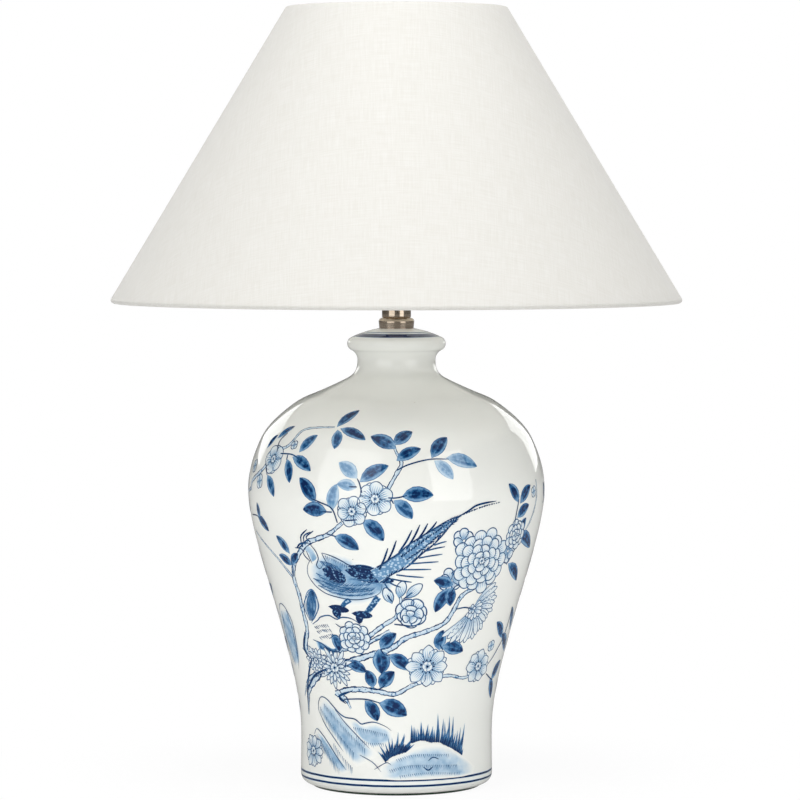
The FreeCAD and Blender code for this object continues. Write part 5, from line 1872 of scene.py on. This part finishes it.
    def peonies(self) -> None:
        """The great peony, its side view, the rose bud, the small ones and the daisies."""
        self.peony((55, 226), 13.5, 7.4, 3)
        for centre, size in (((27.5, 224), 10.0), ((24, 189), 10.5), ((52, 212), 9.5)):
            self.rosette(centre, size * 0.1, size * 1.08, 7, 8.6, Layer.ROCK, size * 40.0, outline=1.25,
                           uneven=0.12)
        self.peony((37.5, 205.5), 28.5, 10.6, 4)
        middle = self.flat((37, 163))[0]
        for index in range(22):
            degrees = 46.0 - index * 8.8
            reach = 21.0 + 11.0 * abs(degrees + 30.0) / 80.0 + 1.5 * math.sin(index * 2.4)
            ends = (self.around(middle, degrees, far) for far in (1.5, reach))
            self.blade(Ink.PETAL, *ends, 5.0, 0.9, Layer.OUTER_PETALS, belly=0.78, bend=0.06, tip=0.7,
                       outline=0.8)
        self.rosette((38, 163), 0.0, 10.0, 9, 3.8, Layer.MIDDLE_PETALS, 50.0, arc=-190.0, tip=0.8)
        self.rosette((37, 163), 0.0, 4.4, 5, 3.2, Layer.INNER_PETALS, 90.0, tip=0.9, tone=1.1)
        self.rosette((7, 162), 3.0, 13.5, 7, 11.5, Layer.OUTER_PETALS, 60.0, outline=1.3)
        self.rosette((7, 159), 2.0, 10.0, 5, 10.0, Layer.MIDDLE_PETALS, 20.0, outline=1.2)
        self.rosette((6, 158), 0.0, 6.4, 3, 7.4, Layer.INNER_PETALS, 200.0, outline=1.1)
        self.peony((-21, 139), 14.5, 7.4, 3)
        for centre, size, heart in (((-47, 116), 12.5, 2.6), ((-34.5, 111.5), 17.5, 4.0)):
            for inner, outer, count, width, layer, first in (
                (2.0, size, 19, 3.9, Layer.OUTER_PETALS, 0.0),
                (1.0, size * 0.66, 13, 3.4, Layer.MIDDLE_PETALS, 12.0),
            ):
                self.rosette(centre, inner, outer, count, width, layer, first, tip=0.95, uneven=0.16)
            self.heart(centre, heart)
        for spots in ((-2, 170, -5, 184), (1, 175, 3, 190), (4, 175, 11, 187)):
            self.blade(Ink.PETAL, *self.flat(spots), 9.0, 1.0, Layer.OUTER_PETALS, belly=0.5, tip=0.6,
                       outline=1.0)

    def grass(self) -> None:
        """Two tufts on the mound."""
        for line, spacing, length, width, lean, spread, fan, tones in (
            ((-6, 31, -3, 35, 1, 38, 5, 40), 2.4, 19, 3.4, 55, 10, 84, (1.1, 0.5)),
            ((-6, 31, -3, 35, 1, 38, 5, 40), 1.1, 10, 3.4, 55, 16, 70, (1.15, 0.95)),
            ((9, 47, 15, 49, 22, 47, 28, 46, 34, 41, 41, 35), 3.1, 15, 3.6, 80, 9, 0, (1.1, 0.45)),
            ((25, 47, 31, 44, 37, 40, 41, 36), 5, 24, 3.8, 90, 10, 10, (1.1, 0.5)),
            ((9, 47, 15, 49, 21, 47), 1.2, 7, 3.2, 84, 14, 20, (1.1, 0.75)),
            ((28, 45, 34, 41, 42, 34), 1.4, 8, 3.2, 84, 18, 10, (1.1, 0.6)),
        ):
            self.bristle(line, spacing, length, width, lean, spread, tones=tones, fan=fan)

    def between_sides(self) -> None:
        """Sprigs that join the front's picture to the back's, round the sides."""
        self.bough((80, 250, 90, 255, 101, 262, 103, 263), (1.6, 2.4, 3.4))
        self.bough((88, 60, 92, 80, 90, 100, 94, 120), (2.6, 2.2, 1.4))
        self.bough((90, 186, 93, 174, 98, 160, 101, 152), (1.8, 2.4, 2.8))
        for *spots, width, tone in (
            (84, 252, 80, 268, 8, 0.95), (90, 255, 96, 241, 8, 0.9), (95, 258, 92, 275, 8.4, 0.95),
            (92, 80, 83, 92, 8, 0.95), (91, 95, 99, 108, 8, 0.9), (93, 115, 88, 131, 8, 0.95),
            (94, 118, 102, 132, 7.4, 0.88), (90, 66, 99, 74, 7.4, 0.95), (92, 178, 84, 168, 7.6, 0.95),
            (95, 168, 103, 178, 7.6, 0.9),
        ):
            self.leaf(spots, width, tone)
        self.blossom((90, 196), 13.0, 6, 10.0)


@dataclass
class CeramicJar:
    """The glazed jar with its felt and its cord bushing."""

    shape: JarShape = field(default_factory=JarShape)
    felt: float = 74.0
    felt_thickness: float = 2.0
    grommet_z: float = 13.5

    def build(self, shop: Workshop) -> None:
        """Make the jar, the felt and the bushing.

        Args:
            shop: The workshop that places the pieces.
        """
        jar = turned("glazed_jar", self.shape.section(), 256)
        shop.place(jar, "glaze", "root", ["jar"], "glaze")
        BirdAndPeonies(self.shape).paint(shop)
        felt = Section(0.0, 0.0).to(self.felt - 0.5, 0.0, 6).arc((self.felt - 0.5, 0.5), self.felt, 0.5, 3)
        felt.to(self.felt, self.felt_thickness - 0.4).to(0.0, self.felt_thickness - 0.02, 4)
        shop.place(turned("felt_disc", felt, 128), "felt", "root", ["felt_pad"], "felt")
        shop.place(self.grommet(), "rubber", "root", ["cord_grommet"], "rubber")

    def grommet(self) -> Piece:
        """The bushing at the back of the foot, its flange rounded.

        Returns:
            The piece.
        """
        section = Section(3.4, -11.0).to(4.1, -11.0).to(4.2, -10.6).to(4.2, -0.0)
        section.to(5.9, 0.0).arc((5.4, 0.6), 5.4, 1.2, 5).to(4.0, 1.2).arc((4.0, 0.6), 3.4, 0.6, 4)
        piece = turned("cord_bushing", section, 40, closed=True)
        across, deep, up = piece.points.T
        piece.points = np.stack([across, up + self.shape.foot, self.grommet_z - deep], axis=1)
        return piece


# ---------------------------------------------------------------- metalwork over the jar


@dataclass
class NickelNeck:
    """The spun cup on the jar and the tube over it."""

    seat_z: float = 401.464
    cup_z: float = 410.814
    top_z: float = 436.214
    cup: float = 15.6
    cup_foot: float = 15.0
    shoulder: float = 3.2
    tube: float = 12.7
    tube_edge: float = 1.2
    bore: float = 5.2

    def build(self, shop: Workshop) -> None:
        """Make the cup and the tube.

        Args:
            shop: The workshop that places the pieces.
        """
        cup = Section(self.bore, self.seat_z + 0.8).to(self.cup_foot - 0.8, self.seat_z)
        cup.to(self.cup_foot, self.seat_z).to(self.cup, self.cup_z - self.shoulder, 6)
        inner = self.cup - self.shoulder
        cup.arc((inner, self.cup_z - self.shoulder), inner, self.cup_z, 8)
        cup.to(self.bore, self.cup_z, 2)
        shop.place(turned("nickel_cup", cup, 96, closed=True), "nickel", "root", ["seating_cup"], "nickel")
        flat = self.tube - self.tube_edge
        tube = Section(self.bore, self.cup_z).to(flat, self.cup_z)
        tube.arc((flat, self.cup_z + self.tube_edge), self.tube, self.cup_z + self.tube_edge, 5)
        tube.to(self.tube, self.top_z - self.tube_edge, 8)
        tube.arc((flat, self.top_z - self.tube_edge), flat, self.top_z, 5).to(self.bore, self.top_z)
        shop.place(turned("nickel_tube", tube, 96, closed=True), "nickel", "root", ["neck_tube"], "nickel")


@dataclass
class HarpSet:
    """The wire bow that lifts out, its sleeves, its boss and the stud."""

    foot_z: float = 445.514
    leg: float = 27.0
    leg_rise: float = 44.5
    half_width: float = 57.0
    bow: float = 90.0
    corner: float = 49.0
    rise: float = 205.5
    wire: float = 1.9
    sleeve_z: float = 445.514
    sleeve_height: float = 12.0
    stud_z: float = 656.314
    stud: float = 2.75
    stud_height: float = 15.3
    flange: float = 6.5
    foot_height: float = 11.3

    def bow_route(self) -> list[tuple[float, float, float]]:
        """The bow's route, from the left foot over the top to the right one.

        Returns:
            The route's points.
        """
        shift = (self.half_width - self.leg) / 2
        angle = math.acos(1 - shift / self.bow)
        up = self.bow * math.sin(angle)
        start_z = self.foot_z + self.leg_rise
        side = Section(self.leg, self.foot_z + self.foot_height - 0.2).to(self.leg, start_z, 4)
        side.arc((self.leg + self.bow, start_z), self.leg + shift, start_z + up, 10)
        side.arc((self.half_width - self.bow, start_z + 2 * up), self.half_width, start_z + 2 * up, 10)
        top_z = self.foot_z + self.rise
        side.to(self.half_width, top_z - self.corner, 4)
        level = self.half_width - self.corner
        side.arc((level, top_z - self.corner), level, top_z, 14)
        half = [(x, 0.0, z) for x, z in side.points]
        return [(-x, y, z) for x, y, z in half] + half[::-1]

    def build(self, shop: Workshop, bender: WireBender, roller: ThreadRoller) -> None:
        """Make the bow over its milled feet, the sleeves, the boss and the stud.

        Args:
            shop: The workshop that places the pieces.
            bender: What makes the wires.
            roller: What makes the threads.
        """
        wire = bender.bend(self.bow_route(), self.wire, shop.palette["nickel"])
        feet = [self.foot_mesh(side) for side in (-1, 1)]
        bow = merged(wire, feet)
        shop.place_mesh("harp_bow_wire", bow, "nickel", "harp_bow", ["harp"])
        for name, node, side in (("left_sleeve", "ferrule_left", -1), ("right_sleeve", "ferrule_right", 1)):
            shop.place(self.sleeve(name, side), "nickel", "sleeve_" + node.split("_")[1], [node], "nickel")
        stud = Section(0.0, self.stud_z - 2.7)
        for across, up in (
            (1.5, -2.7), (1.5, 0.0), (6.2, 0.0), (self.flange, 0.3), (self.flange, 1.8), (6.3, 2.0),
            (2.9, 2.0), (self.stud, 2.6), (self.stud, self.stud_height - 0.7), (2.3, self.stud_height),
            (0.0, self.stud_height),
        ):
            stud.to(across, self.stud_z + up)
        thread = roller.roll(self.stud, 0.94, 11.0, 0.34, self.stud_z + 3.2, shop.palette["nickel"])
        rod = merged(turned("stud", stud, 48).mesh(), [thread])
        shop.place_mesh("harp_stud_rod", rod, "nickel", "swivel", ["harp_stud"])
        shop.refinish("harp_top_block", "nickel")
        shop.refinish("harp_saddle", "nickel")

    def foot_mesh(self, side: int) -> bpy.types.Mesh:
        """The half-round end of one leg, flat towards the saddle's tab.

        Args:
            side: 1 for the right and -1 for the left.

        Returns:
            The mesh.
        """
        outline = [(0.1, -self.wire), (0.1, self.wire)]
        steps = 12
        outline += [
            (self.wire * math.cos(a), self.wire * math.sin(a))
            for a in np.linspace(math.pi / 2 - 0.06, -math.pi / 2 + 0.06, steps)
        ]
        count = len(outline)
        low, high = self.foot_z, self.foot_z + self.foot_height
        places = [((self.leg + x) * side, y, z) for z in (low, high) for x, y in outline]
        walls = [(i, (i + 1) % count, count + (i + 1) % count, count + i) for i in range(count)]
        faces = [*walls, tuple(range(count))[::-1], tuple(range(count, 2 * count))]
        if side > 0:
            faces = [face[::-1] for face in faces]
        return Piece("foot", np.array(places), faces).mesh()

    def sleeve(self, name: str, side: int) -> Piece:
        """One sleeve, its lower mouth rolled out a little inside its size.

        Args:
            name: The piece's name.
            side: 1 for the right and -1 for the left.

        Returns:
            The piece.
        """
        top = self.sleeve_z + self.sleeve_height
        section = Section(3.0, self.sleeve_z + 0.3).to(3.3, self.sleeve_z).to(3.8, self.sleeve_z)
        section.to(4.0, self.sleeve_z + 0.3).to(4.0, top - 0.5, 3).arc((3.5, top - 0.5), 3.5, top, 4)
        section.to(3.0, top)
        piece = turned(name, section, 40, closed=True)
        piece.points = piece.points + np.array([self.leg * side, 0.0, 0.0])
        return piece


@dataclass
class LampSocket:
    """The socket with its turning switch."""

    knob_z: float = 468.714
    knob_back: float = 20.8
    knob: float = 5.6
    knob_length: float = 14.0
    rib: float = 0.44
    rib_start: float = 3.7
    rib_length: float = 8.8
    ribs: int = 24
    hub_z: float = 438.014
    hub: float = 8.2
    hub_height: float = 9.0
    dome_rise: float = 18.0
    cap: float = 17.2
    bore: float = 5.2

    def build(self, shop: Workshop, wheel: RibWheel) -> None:
        """Make the cap and the knob, and dress the rest.

        Args:
            shop: The workshop that places the pieces.
            wheel: What makes the ribs.
        """
        hub_top, dome_z, inner = self.hub_z + self.hub_height, self.hub_z + self.dome_rise, self.cap - 0.7
        cap = Section(self.bore, self.hub_z).to(7.5, self.hub_z).to(7.5, hub_top, 3).to(self.hub, hub_top)
        cap.arc((self.hub, dome_z), self.cap, dome_z, 12).to(self.cap, dome_z + 5.7, 4)
        cap.to(self.cap - 0.15, dome_z + 6.0).to(inner, dome_z + 6.0).to(inner, dome_z, 4)
        inner_z = dome_z - (inner - self.hub)
        cap.arc((self.hub, dome_z), self.hub, inner_z, 8).to(self.bore, inner_z)
        socket_cap = turned("socket_cap_shell", cap, 96, closed=True)
        shop.place(socket_cap, "nickel", "root", ["socket_cap"], "nickel")
        knob = self.knob_mesh(shop, wheel)
        shop.place_mesh("fluted_knob", knob, "knob", "switch", ["switch_knob"])
        for node, finish in (
            ("socket_shell", "nickel"), ("socket_insulator", "paper"), ("socket_body", "phenolic"),
            ("centre_contact", "brass"), ("terminal_screw_1", "brass"), ("terminal_screw_2", "nickel"),
            ("switch_shaft", "nickel"), ("socket_set_screw", "zinc"), ("lamp_pipe", "zinc"),
            ("base_washer", "zinc"), ("lock_washer", "zinc"), ("base_nut", "zinc"), ("top_washer", "zinc"),
            ("top_nut", "zinc"), ("screw_shell", "brass"),
        ):
            shop.refinish(node, finish)

    def knob_mesh(self, shop: Workshop, wheel: RibWheel) -> bpy.types.Mesh:
        """The knob's barrel with upright ribs round it.

        Args:
            shop: The workshop that places the pieces.
            wheel: What makes the ribs.

        Returns:
            The mesh.
        """
        core = self.knob - 0.45
        section = Section(1.65, 0.0).to(3.9, 0.0).to(core, 3.5, 3).to(core, self.knob_length - 1.4, 3)
        section.arc((core - 1.4, self.knob_length - 1.4), core - 1.4, self.knob_length, 5)
        section.to(1.2, self.knob_length).arc((0.0, self.knob_length), 0.0, self.knob_length - 0.4, 3)
        barrel = turned("knob_barrel", section, 60)
        across, deep, up = barrel.points.T
        barrel.points = np.stack([across, -self.knob_back - up, self.knob_z + deep], axis=1)
        ribs = wheel.run(bpy.data.meshes.new("blank"), {
            "Radius": core * MM, "Length": self.rib_length * MM, "Rib": self.rib * MM, "Count": self.ribs,
            "Finish": shop.palette["knob"],
        })
        ribs_back = self.knob_back + self.rib_start + self.rib_length / 2
        return merged(barrel.mesh(), [shifted(ribs, 0.0, -ribs_back, self.knob_z)])


@dataclass
class LightBulb:
    """The frosted bulb in its threaded cap."""

    neck_z: float = 501.714
    neck: float = 13.4
    widest: float = 30.0
    height: float = 85.0
    cap: float = 12.9
    cap_z: float = 480.714
    pitch: float = 3.6
    swell: tuple[Spot, ...] = ((0.0, 0.10), (0.12, 0.26), (0.90, 0.36), (1.12, 0.62))

    def build(self, shop: Workshop, roller: ThreadRoller) -> None:
        """Make the glass and the cap, and dress the tip.

        Args:
            shop: The workshop that places the pieces.
            roller: What makes the threads.
        """
        top = self.neck_z + self.height - 0.9
        poles = [
            (self.neck + (self.widest - self.neck) * across, self.neck_z + self.height * up)
            for across, up in self.swell
        ] + [(self.widest * 0.62, top), (0.0, top)]
        glass = Section(0.0, self.neck_z).to(self.neck, self.neck_z).curve(poles, 60)
        shop.place(turned("bulb_envelope", glass, 96), "frosted", "bulb", ["bulb_glass"], "frosted_glass")
        core = self.cap - 0.75
        shell = Section(0.0, self.cap_z).to(core - 1.0, self.cap_z).to(core, self.cap_z + 1.2)
        shell.to(core, self.neck_z - 3.0, 4).to(self.cap, self.neck_z - 1.6).to(self.cap, self.neck_z)
        shell.to(0.0, self.neck_z)
        thread = roller.roll(core, self.pitch, 4.4, 0.72, self.cap_z + 1.6, shop.palette["zinc"])
        cap = merged(turned("cap_shell", shell, 72).mesh(), [thread])
        shop.place_mesh("bulb_threaded_cap", cap, "zinc", "bulb", ["bulb_cap"])
        shop.refinish("bulb_insulator", "glass_black")
        shop.refinish("bulb_contact", "brass")


# ---------------------------------------------------------------- the shade


@dataclass
class LinenShade:
    """The cone of linen on its liner, with its rings, arms and washer."""

    bottom: float = 251.0
    top: float = 96.0
    bottom_z: float = 425.72
    height: float = 257.8
    cloth: float = 0.7
    liner: float = 0.8
    hem: float = 2.7
    fold: float = 53.4
    tail_start: float = 7.5
    tail_end: float = 14.0
    wire: float = 1.35
    arm: float = 1.6
    arm_z: float = 659.214
    arm_run: float = 84.0
    arm_bend: float = 8.0
    washer: float = 12.5
    washer_bore: float = 3.6
    liner_inset: float = 4.6
    turned_in: float = 18.0
    angles: tuple[float, float, float] = (90.0, 210.0, 330.0)

    @property
    def slant(self) -> float:
        """The cone's length along its slope."""
        return math.hypot(self.bottom - self.top, self.height)

    def on_slope(self, along: float, depth: float) -> tuple[float, float]:
        """A point of the section: so far up the slope, so far in from the outer face.

        Args:
            along: How far up the slope.
            depth: How far in from the outer face.

        Returns:
            The radius and the height.
        """
        inward = (self.bottom - self.top) / self.slant
        upward = self.height / self.slant
        return (
            self.bottom - along * inward - depth * upward,
            self.bottom_z + along * upward - depth * inward,
        )

    def apex(self) -> tuple[float, float]:
        """The cone's apex height and the sine of its half angle."""
        sine = (self.bottom - self.top) / self.slant
        return self.bottom_z + self.bottom * self.height / (self.bottom - self.top), sine

    def fold_point(self, size: float, at_top: bool) -> tuple[float, float]:
        """Where the cloth leaves a hem's roll for the liner."""
        along = self.hem + size * math.cos(math.radians(self.fold))
        depth = self.hem + size * math.sin(math.radians(self.fold))
        return self.on_slope(self.slant - along if at_top else along, depth)

    def cloth_section(self) -> Section:
        """The cloth's closed section: outer face, both hems and their tails.

        Returns:
            The section.
        """
        inner = self.hem - self.cloth
        deep_out = 2 * self.cloth + self.liner
        deep_in = self.cloth + self.liner
        low, high = self.on_slope(self.hem, self.hem), self.on_slope(self.slant - self.hem, self.hem)
        section = Section(*self.on_slope(self.tail_end, deep_out))
        section.to(*self.on_slope(self.tail_start, deep_out), 2).to(*self.fold_point(self.hem, False), 2)
        halfway = self.on_slope(0.0, self.hem)
        section.arc(low, *halfway, 7).arc(low, *self.on_slope(self.hem, 0.0), 7)
        section.to(*self.on_slope(self.slant - self.hem, 0.0), 40)
        section.arc(high, *self.on_slope(self.slant, self.hem), 7)
        section.arc(high, *self.fold_point(self.hem, True), 7)
        section.to(*self.on_slope(self.slant - self.tail_start, deep_out), 2)
        section.to(*self.on_slope(self.slant - self.tail_end, deep_out), 2)
        section.to(*self.on_slope(self.slant - self.tail_end, deep_in))
        turn = self.tail_start - self.cloth / 3
        section.to(*self.on_slope(self.slant - turn, deep_in), 2).to(*self.fold_point(inner, True), 2)
        section.arc(high, *self.on_slope(self.slant - self.hem + inner, self.hem), 6)
        section.arc(high, *self.on_slope(self.slant - self.hem, self.cloth), 6)
        section.to(*self.on_slope(self.hem, self.cloth), 40)
        section.arc(low, *self.on_slope(self.hem - inner, self.hem), 6)
        section.arc(low, *self.fold_point(inner, False), 6)
        section.to(*self.on_slope(turn, deep_in), 2).to(*self.on_slope(self.tail_end, deep_in), 2)
        return section

    def arm_route(self, angle: float) -> list[tuple[float, float, float]]:
        """One arm's route: level from the washer, then up to the top ring.

        Args:
            angle: The arm's direction in degrees.

        Returns:
            The route's points.
        """
        ring_r, ring_z = self.on_slope(self.slant - self.hem, self.hem)
        rise_r, rise_z = ring_r - self.arm_run, ring_z - self.arm_z
        reach = math.hypot(rise_r, rise_z)
        cosine, sine = rise_r / reach, rise_z / reach
        setback = self.arm_bend * sine / (1 + cosine)
        line = Section(self.washer * 0.72, self.arm_z).to(self.arm_run - setback, self.arm_z, 8)
        line.arc((self.arm_run - setback, self.arm_z + self.arm_bend), self.arm_run + setback * cosine,
                 self.arm_z + setback * sine, 8)
        stop = reach - self.wire - 0.4
        line.to(self.arm_run + stop * cosine, self.arm_z + stop * sine, 3)
        turn = math.radians(angle)
        return [(r * math.cos(turn), r * math.sin(turn), z) for r, z in line.points]

    def build(self, shop: Workshop, bender: WireBender) -> None:
        """Make the cloth, the liner, the rings, the arms and the washer.

        Args:
            shop: The workshop that places the pieces.
            bender: What makes the wires.
        """
        apex = self.apex()
        cloth = turned("linen_cone", self.cloth_section(), 200, closed=True, cone_map=apex)
        cloth.sharp = 60.0
        linen = shop.place(cloth, "linen", "shade", ["shade_fabric"], "linen")
        flat_far, flat_near = self.bottom / apex[1], self.top / apex[1]
        sweep = TURN * apex[1]
        spread = 2 * flat_far * MM
        drop = (flat_far - flat_far * math.cos(sweep / 2)) * MM
        hems = TURN * (self.bottom + self.top) * self.turned_in
        area = (sweep / 2 * (flat_far**2 - flat_near**2) + hems) * MM * MM
        low, high = self.liner_inset, self.slant - self.liner_inset
        liner = Section(*self.on_slope(low, self.cloth)).to(*self.on_slope(high, self.cloth), 20)
        inner = self.cloth + self.liner
        liner.to(*self.on_slope(high, inner)).to(*self.on_slope(low, inner), 20)
        sheet = turned("styrene_liner", liner, 200, closed=True)
        shop.place(sheet, "styrene", "shade", ["shade_liner"], "styrene")
        for name, node, at_top in (("upper_wire", "top_ring", True), ("lower_wire", "bottom_ring", False)):
            along = self.slant - self.hem if at_top else self.hem
            radius, height = self.on_slope(along, self.hem)
            around = [(radius * math.cos(a), radius * math.sin(a), height)
                      for a in np.linspace(0, TURN, 160, endpoint=False)]
            mesh = bender.bend(around, self.wire, shop.palette["nickel"], closed=True, sides=14)
            shop.place_mesh(name, mesh, "nickel", "shade", [node])
        for index, angle in enumerate(self.angles, start=1):
            mesh = bender.bend(self.arm_route(angle), self.arm, shop.palette["nickel"])
            shop.place_mesh("arm_%d" % index, mesh, "nickel", "shade", ["spider_arm_%d" % index])
        top = self.arm_z + 0.9
        washer = Section(self.washer_bore, top - 1.8).to(self.washer - 0.3, top - 1.8)
        washer.arc((self.washer - 0.3, top - 1.5), self.washer, top - 1.5, 3).to(self.washer, top - 0.3)
        washer.arc((self.washer - 0.3, top - 0.3), self.washer - 0.3, top, 3).to(self.washer_bore, top)
        disc = turned("fitter_disc", washer, 64, closed=True)
        shop.place(disc, "nickel", "shade", ["fitter_washer"], "nickel")


@dataclass
class Finial:
    """The low turned knob on the stud."""

    bottom_z: float = 660.414
    height: float = 18.9
    base: float = 7.8
    waist: float = 4.3
    ball: float = 7.6

    def build(self, shop: Workshop) -> None:
        """Make the finial.

        Args:
            shop: The workshop that places the pieces.
        """
        base = self.bottom_z
        ball_z = base + self.height - self.ball
        drop = math.sqrt(self.ball**2 - self.waist**2)
        rim = self.base - 0.3
        section = Section(3.2, base).to(rim, base).arc((rim, base + 0.3), self.base, base + 0.3, 3)
        section.to(self.base, base + 1.9).arc((rim, base + 1.9), rim, base + 2.2, 3)
        section.to(self.waist + 0.5, base + 2.9).to(self.waist, base + 3.3).to(self.waist, ball_z - drop)
        section.arc((0.0, ball_z), 0.0, base + self.height, 16)
        shop.place(turned("finial_knob", section, 64), "nickel", "finial", ["finial"], "nickel")


# ---------------------------------------------------------------- studio


@dataclass
class Studio:
    """A white room with soft boxes, and the camera in front of the lamp."""

    distance: float = 3508.3
    eye: float = 513.3
    across: float = 3.1
    tilt: float = 2.852
    lens: float = 180.04
    sensor: float = 36.0
    room: float = 0.37
    mirrored_room: float = 0.07
    mirrored_floor: float = 0.28
    floor_half: float = 9000.0
    shadow_fade: tuple[float, float] = (0.16, 0.42)
    aim: float = 320.0

    def build(self) -> None:
        """Set up the world, the floor, the lamps and the camera."""
        scene = bpy.context.scene
        scene.view_settings.view_transform = "Standard"
        self.world(scene)
        self.floor()
        self.box_lamp("left_box", (-1500, -1900, 720), (2.2, 3.1), 32.0)
        self.box_lamp("right_box", (1650, -1750, 590), (1.4, 2.9), 23.0)
        self.box_lamp("top_box", (0, -700, 2600), (2.4, 2.0), 58.0, False)
        self.box_lamp("left_rim", (-1150, 2000, 950), (1.0, 0.9), 5.0)
        self.box_lamp("right_rim", (1150, 2000, 900), (1.0, 1.0), 5.5)
        camera = bpy.data.objects.new("camera", bpy.data.cameras.new("camera"))
        camera.data.lens = self.lens
        camera.data.sensor_width = self.sensor
        camera.data.clip_end = 60.0
        camera.location = (self.across * MM, -self.distance * MM, self.eye * MM)
        camera.rotation_euler = Euler((math.radians(90 - self.tilt), 0.0, 0.0))
        scene.collection.objects.link(camera)
        scene.camera = camera

    def world(self, scene: bpy.types.Scene) -> None:
        """A room that is white to the eye and darker behind the camera in reflections.

        Args:
            scene: The scene that it lights.
        """
        world = bpy.data.worlds.new("white_room")
        world.use_nodes = True
        scene.world = world
        shader = Shader(world.node_tree)
        rays = shader.node("ShaderNodeLightPath", {}, {})
        seen = Number(shader, rays.outputs["Is Camera Ray"])
        mirrored = Number(shader, rays.outputs["Is Glossy Ray"])
        through = Number(shader, rays.outputs["Is Transmission Ray"])
        unseen = 1.0 - seen.larger(mirrored).larger(through)
        level = seen.larger(through).larger(mirrored * self.mirrored_room).larger(unseen * self.room)
        values = {"Color": paint(255, 255, 255), "Strength": level}
        background = shader.node("ShaderNodeBackground", {}, values)
        shader.node("ShaderNodeOutputWorld", {}, {"Surface": background.outputs[0]})

    def floor(self) -> None:
        """A wide white floor that fades into the room, keeps the lamp's shadow and is clear from below."""
        half = self.floor_half
        corners = np.array([(-half, -half, 0), (half, -half, 0), (half, half, 0), (-half, half, 0)], float)
        mesh = Piece("floor", corners, [(0, 1, 2, 3)]).mesh()
        shader, material = Shader.material("white_floor")
        rays = shader.node("ShaderNodeLightPath", {}, {})
        seen = Number(shader, rays.outputs["Is Camera Ray"])
        mirrored = Number(shader, rays.outputs["Is Glossy Ray"])
        across, deep, _ = shader.parts(shader.position())
        away = (across * across + deep * deep).root().step(*self.shadow_fade)
        matt = shader.node("ShaderNodeBsdfDiffuse", {}, {"Color": paint(246, 246, 246)})
        level = seen.larger(mirrored * self.mirrored_floor)
        glow = shader.node("ShaderNodeEmission", {}, {"Color": paint(255, 255, 255), "Strength": level})
        share = (seen * (away * 0.08 + 0.92)).larger(mirrored)
        mixed = shader.node("ShaderNodeMixShader", {}, {0: share, 1: matt.outputs[0], 2: glow.outputs[0]})
        under = Number(shader, shader.node("ShaderNodeNewGeometry", {}, {}).outputs["Backfacing"])
        clear = shader.node("ShaderNodeBsdfTransparent", {}, {})
        sided = shader.node("ShaderNodeMixShader", {}, {0: under, 1: mixed.outputs[0], 2: clear.outputs[0]})
        shader.node("ShaderNodeOutputMaterial", {}, {"Surface": sided.outputs[0]})
        mesh.materials.append(material)
        floor = bpy.data.objects.new("floor", mesh)
        bpy.context.scene.collection.objects.link(floor)

    def box_lamp(self, name: str, place: Sequence[float], size: tuple[float, float], power: float,
                 mirrored: bool = True) -> None:
        """A soft box that faces the middle of the lamp.

        Args:
            name: Its name.
            place: Where it stands, in millimetres.
            size: Its width and height in metres.
            power: Its power in watts.
            mirrored: Whether glossy surfaces show it.
        """
        data = bpy.data.lights.new(name, "AREA")
        data.shape = "RECTANGLE"
        data.size, data.size_y = size
        data.energy = power
        lamp = bpy.data.objects.new(name, data)
        lamp.location = [value * MM for value in place]
        aim = Vector((0.0, 0.0, self.aim * MM)) - lamp.location
        lamp.rotation_euler = aim.to_track_quat("-Z", "Y").to_euler()
        lamp.visible_camera = False
        lamp.visible_glossy = mirrored
        bpy.context.scene.collection.objects.link(lamp)


# ---------------------------------------------------------------- the whole


def main() -> None:
    """Build the lamp piece by piece on the frame, and light it."""
    logging.basicConfig(level=logging.INFO, format="%(name)s: %(message)s")
    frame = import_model()
    palette = Palette()
    shop = Workshop(palette, frame)
    bender, roller, wheel = WireBender(), ThreadRoller(), RibWheel()
    Studio().build()
    CeramicJar().build(shop)
    NickelNeck().build(shop)
    HarpSet().build(shop, bender, roller)
    LampSocket().build(shop, wheel)
    LightBulb().build(shop, roller)
    LinenShade().build(shop, bender)
    Finial().build(shop)
    LOG.info("%d pieces made", shop.count)


if __name__ == "__main__":
    main()
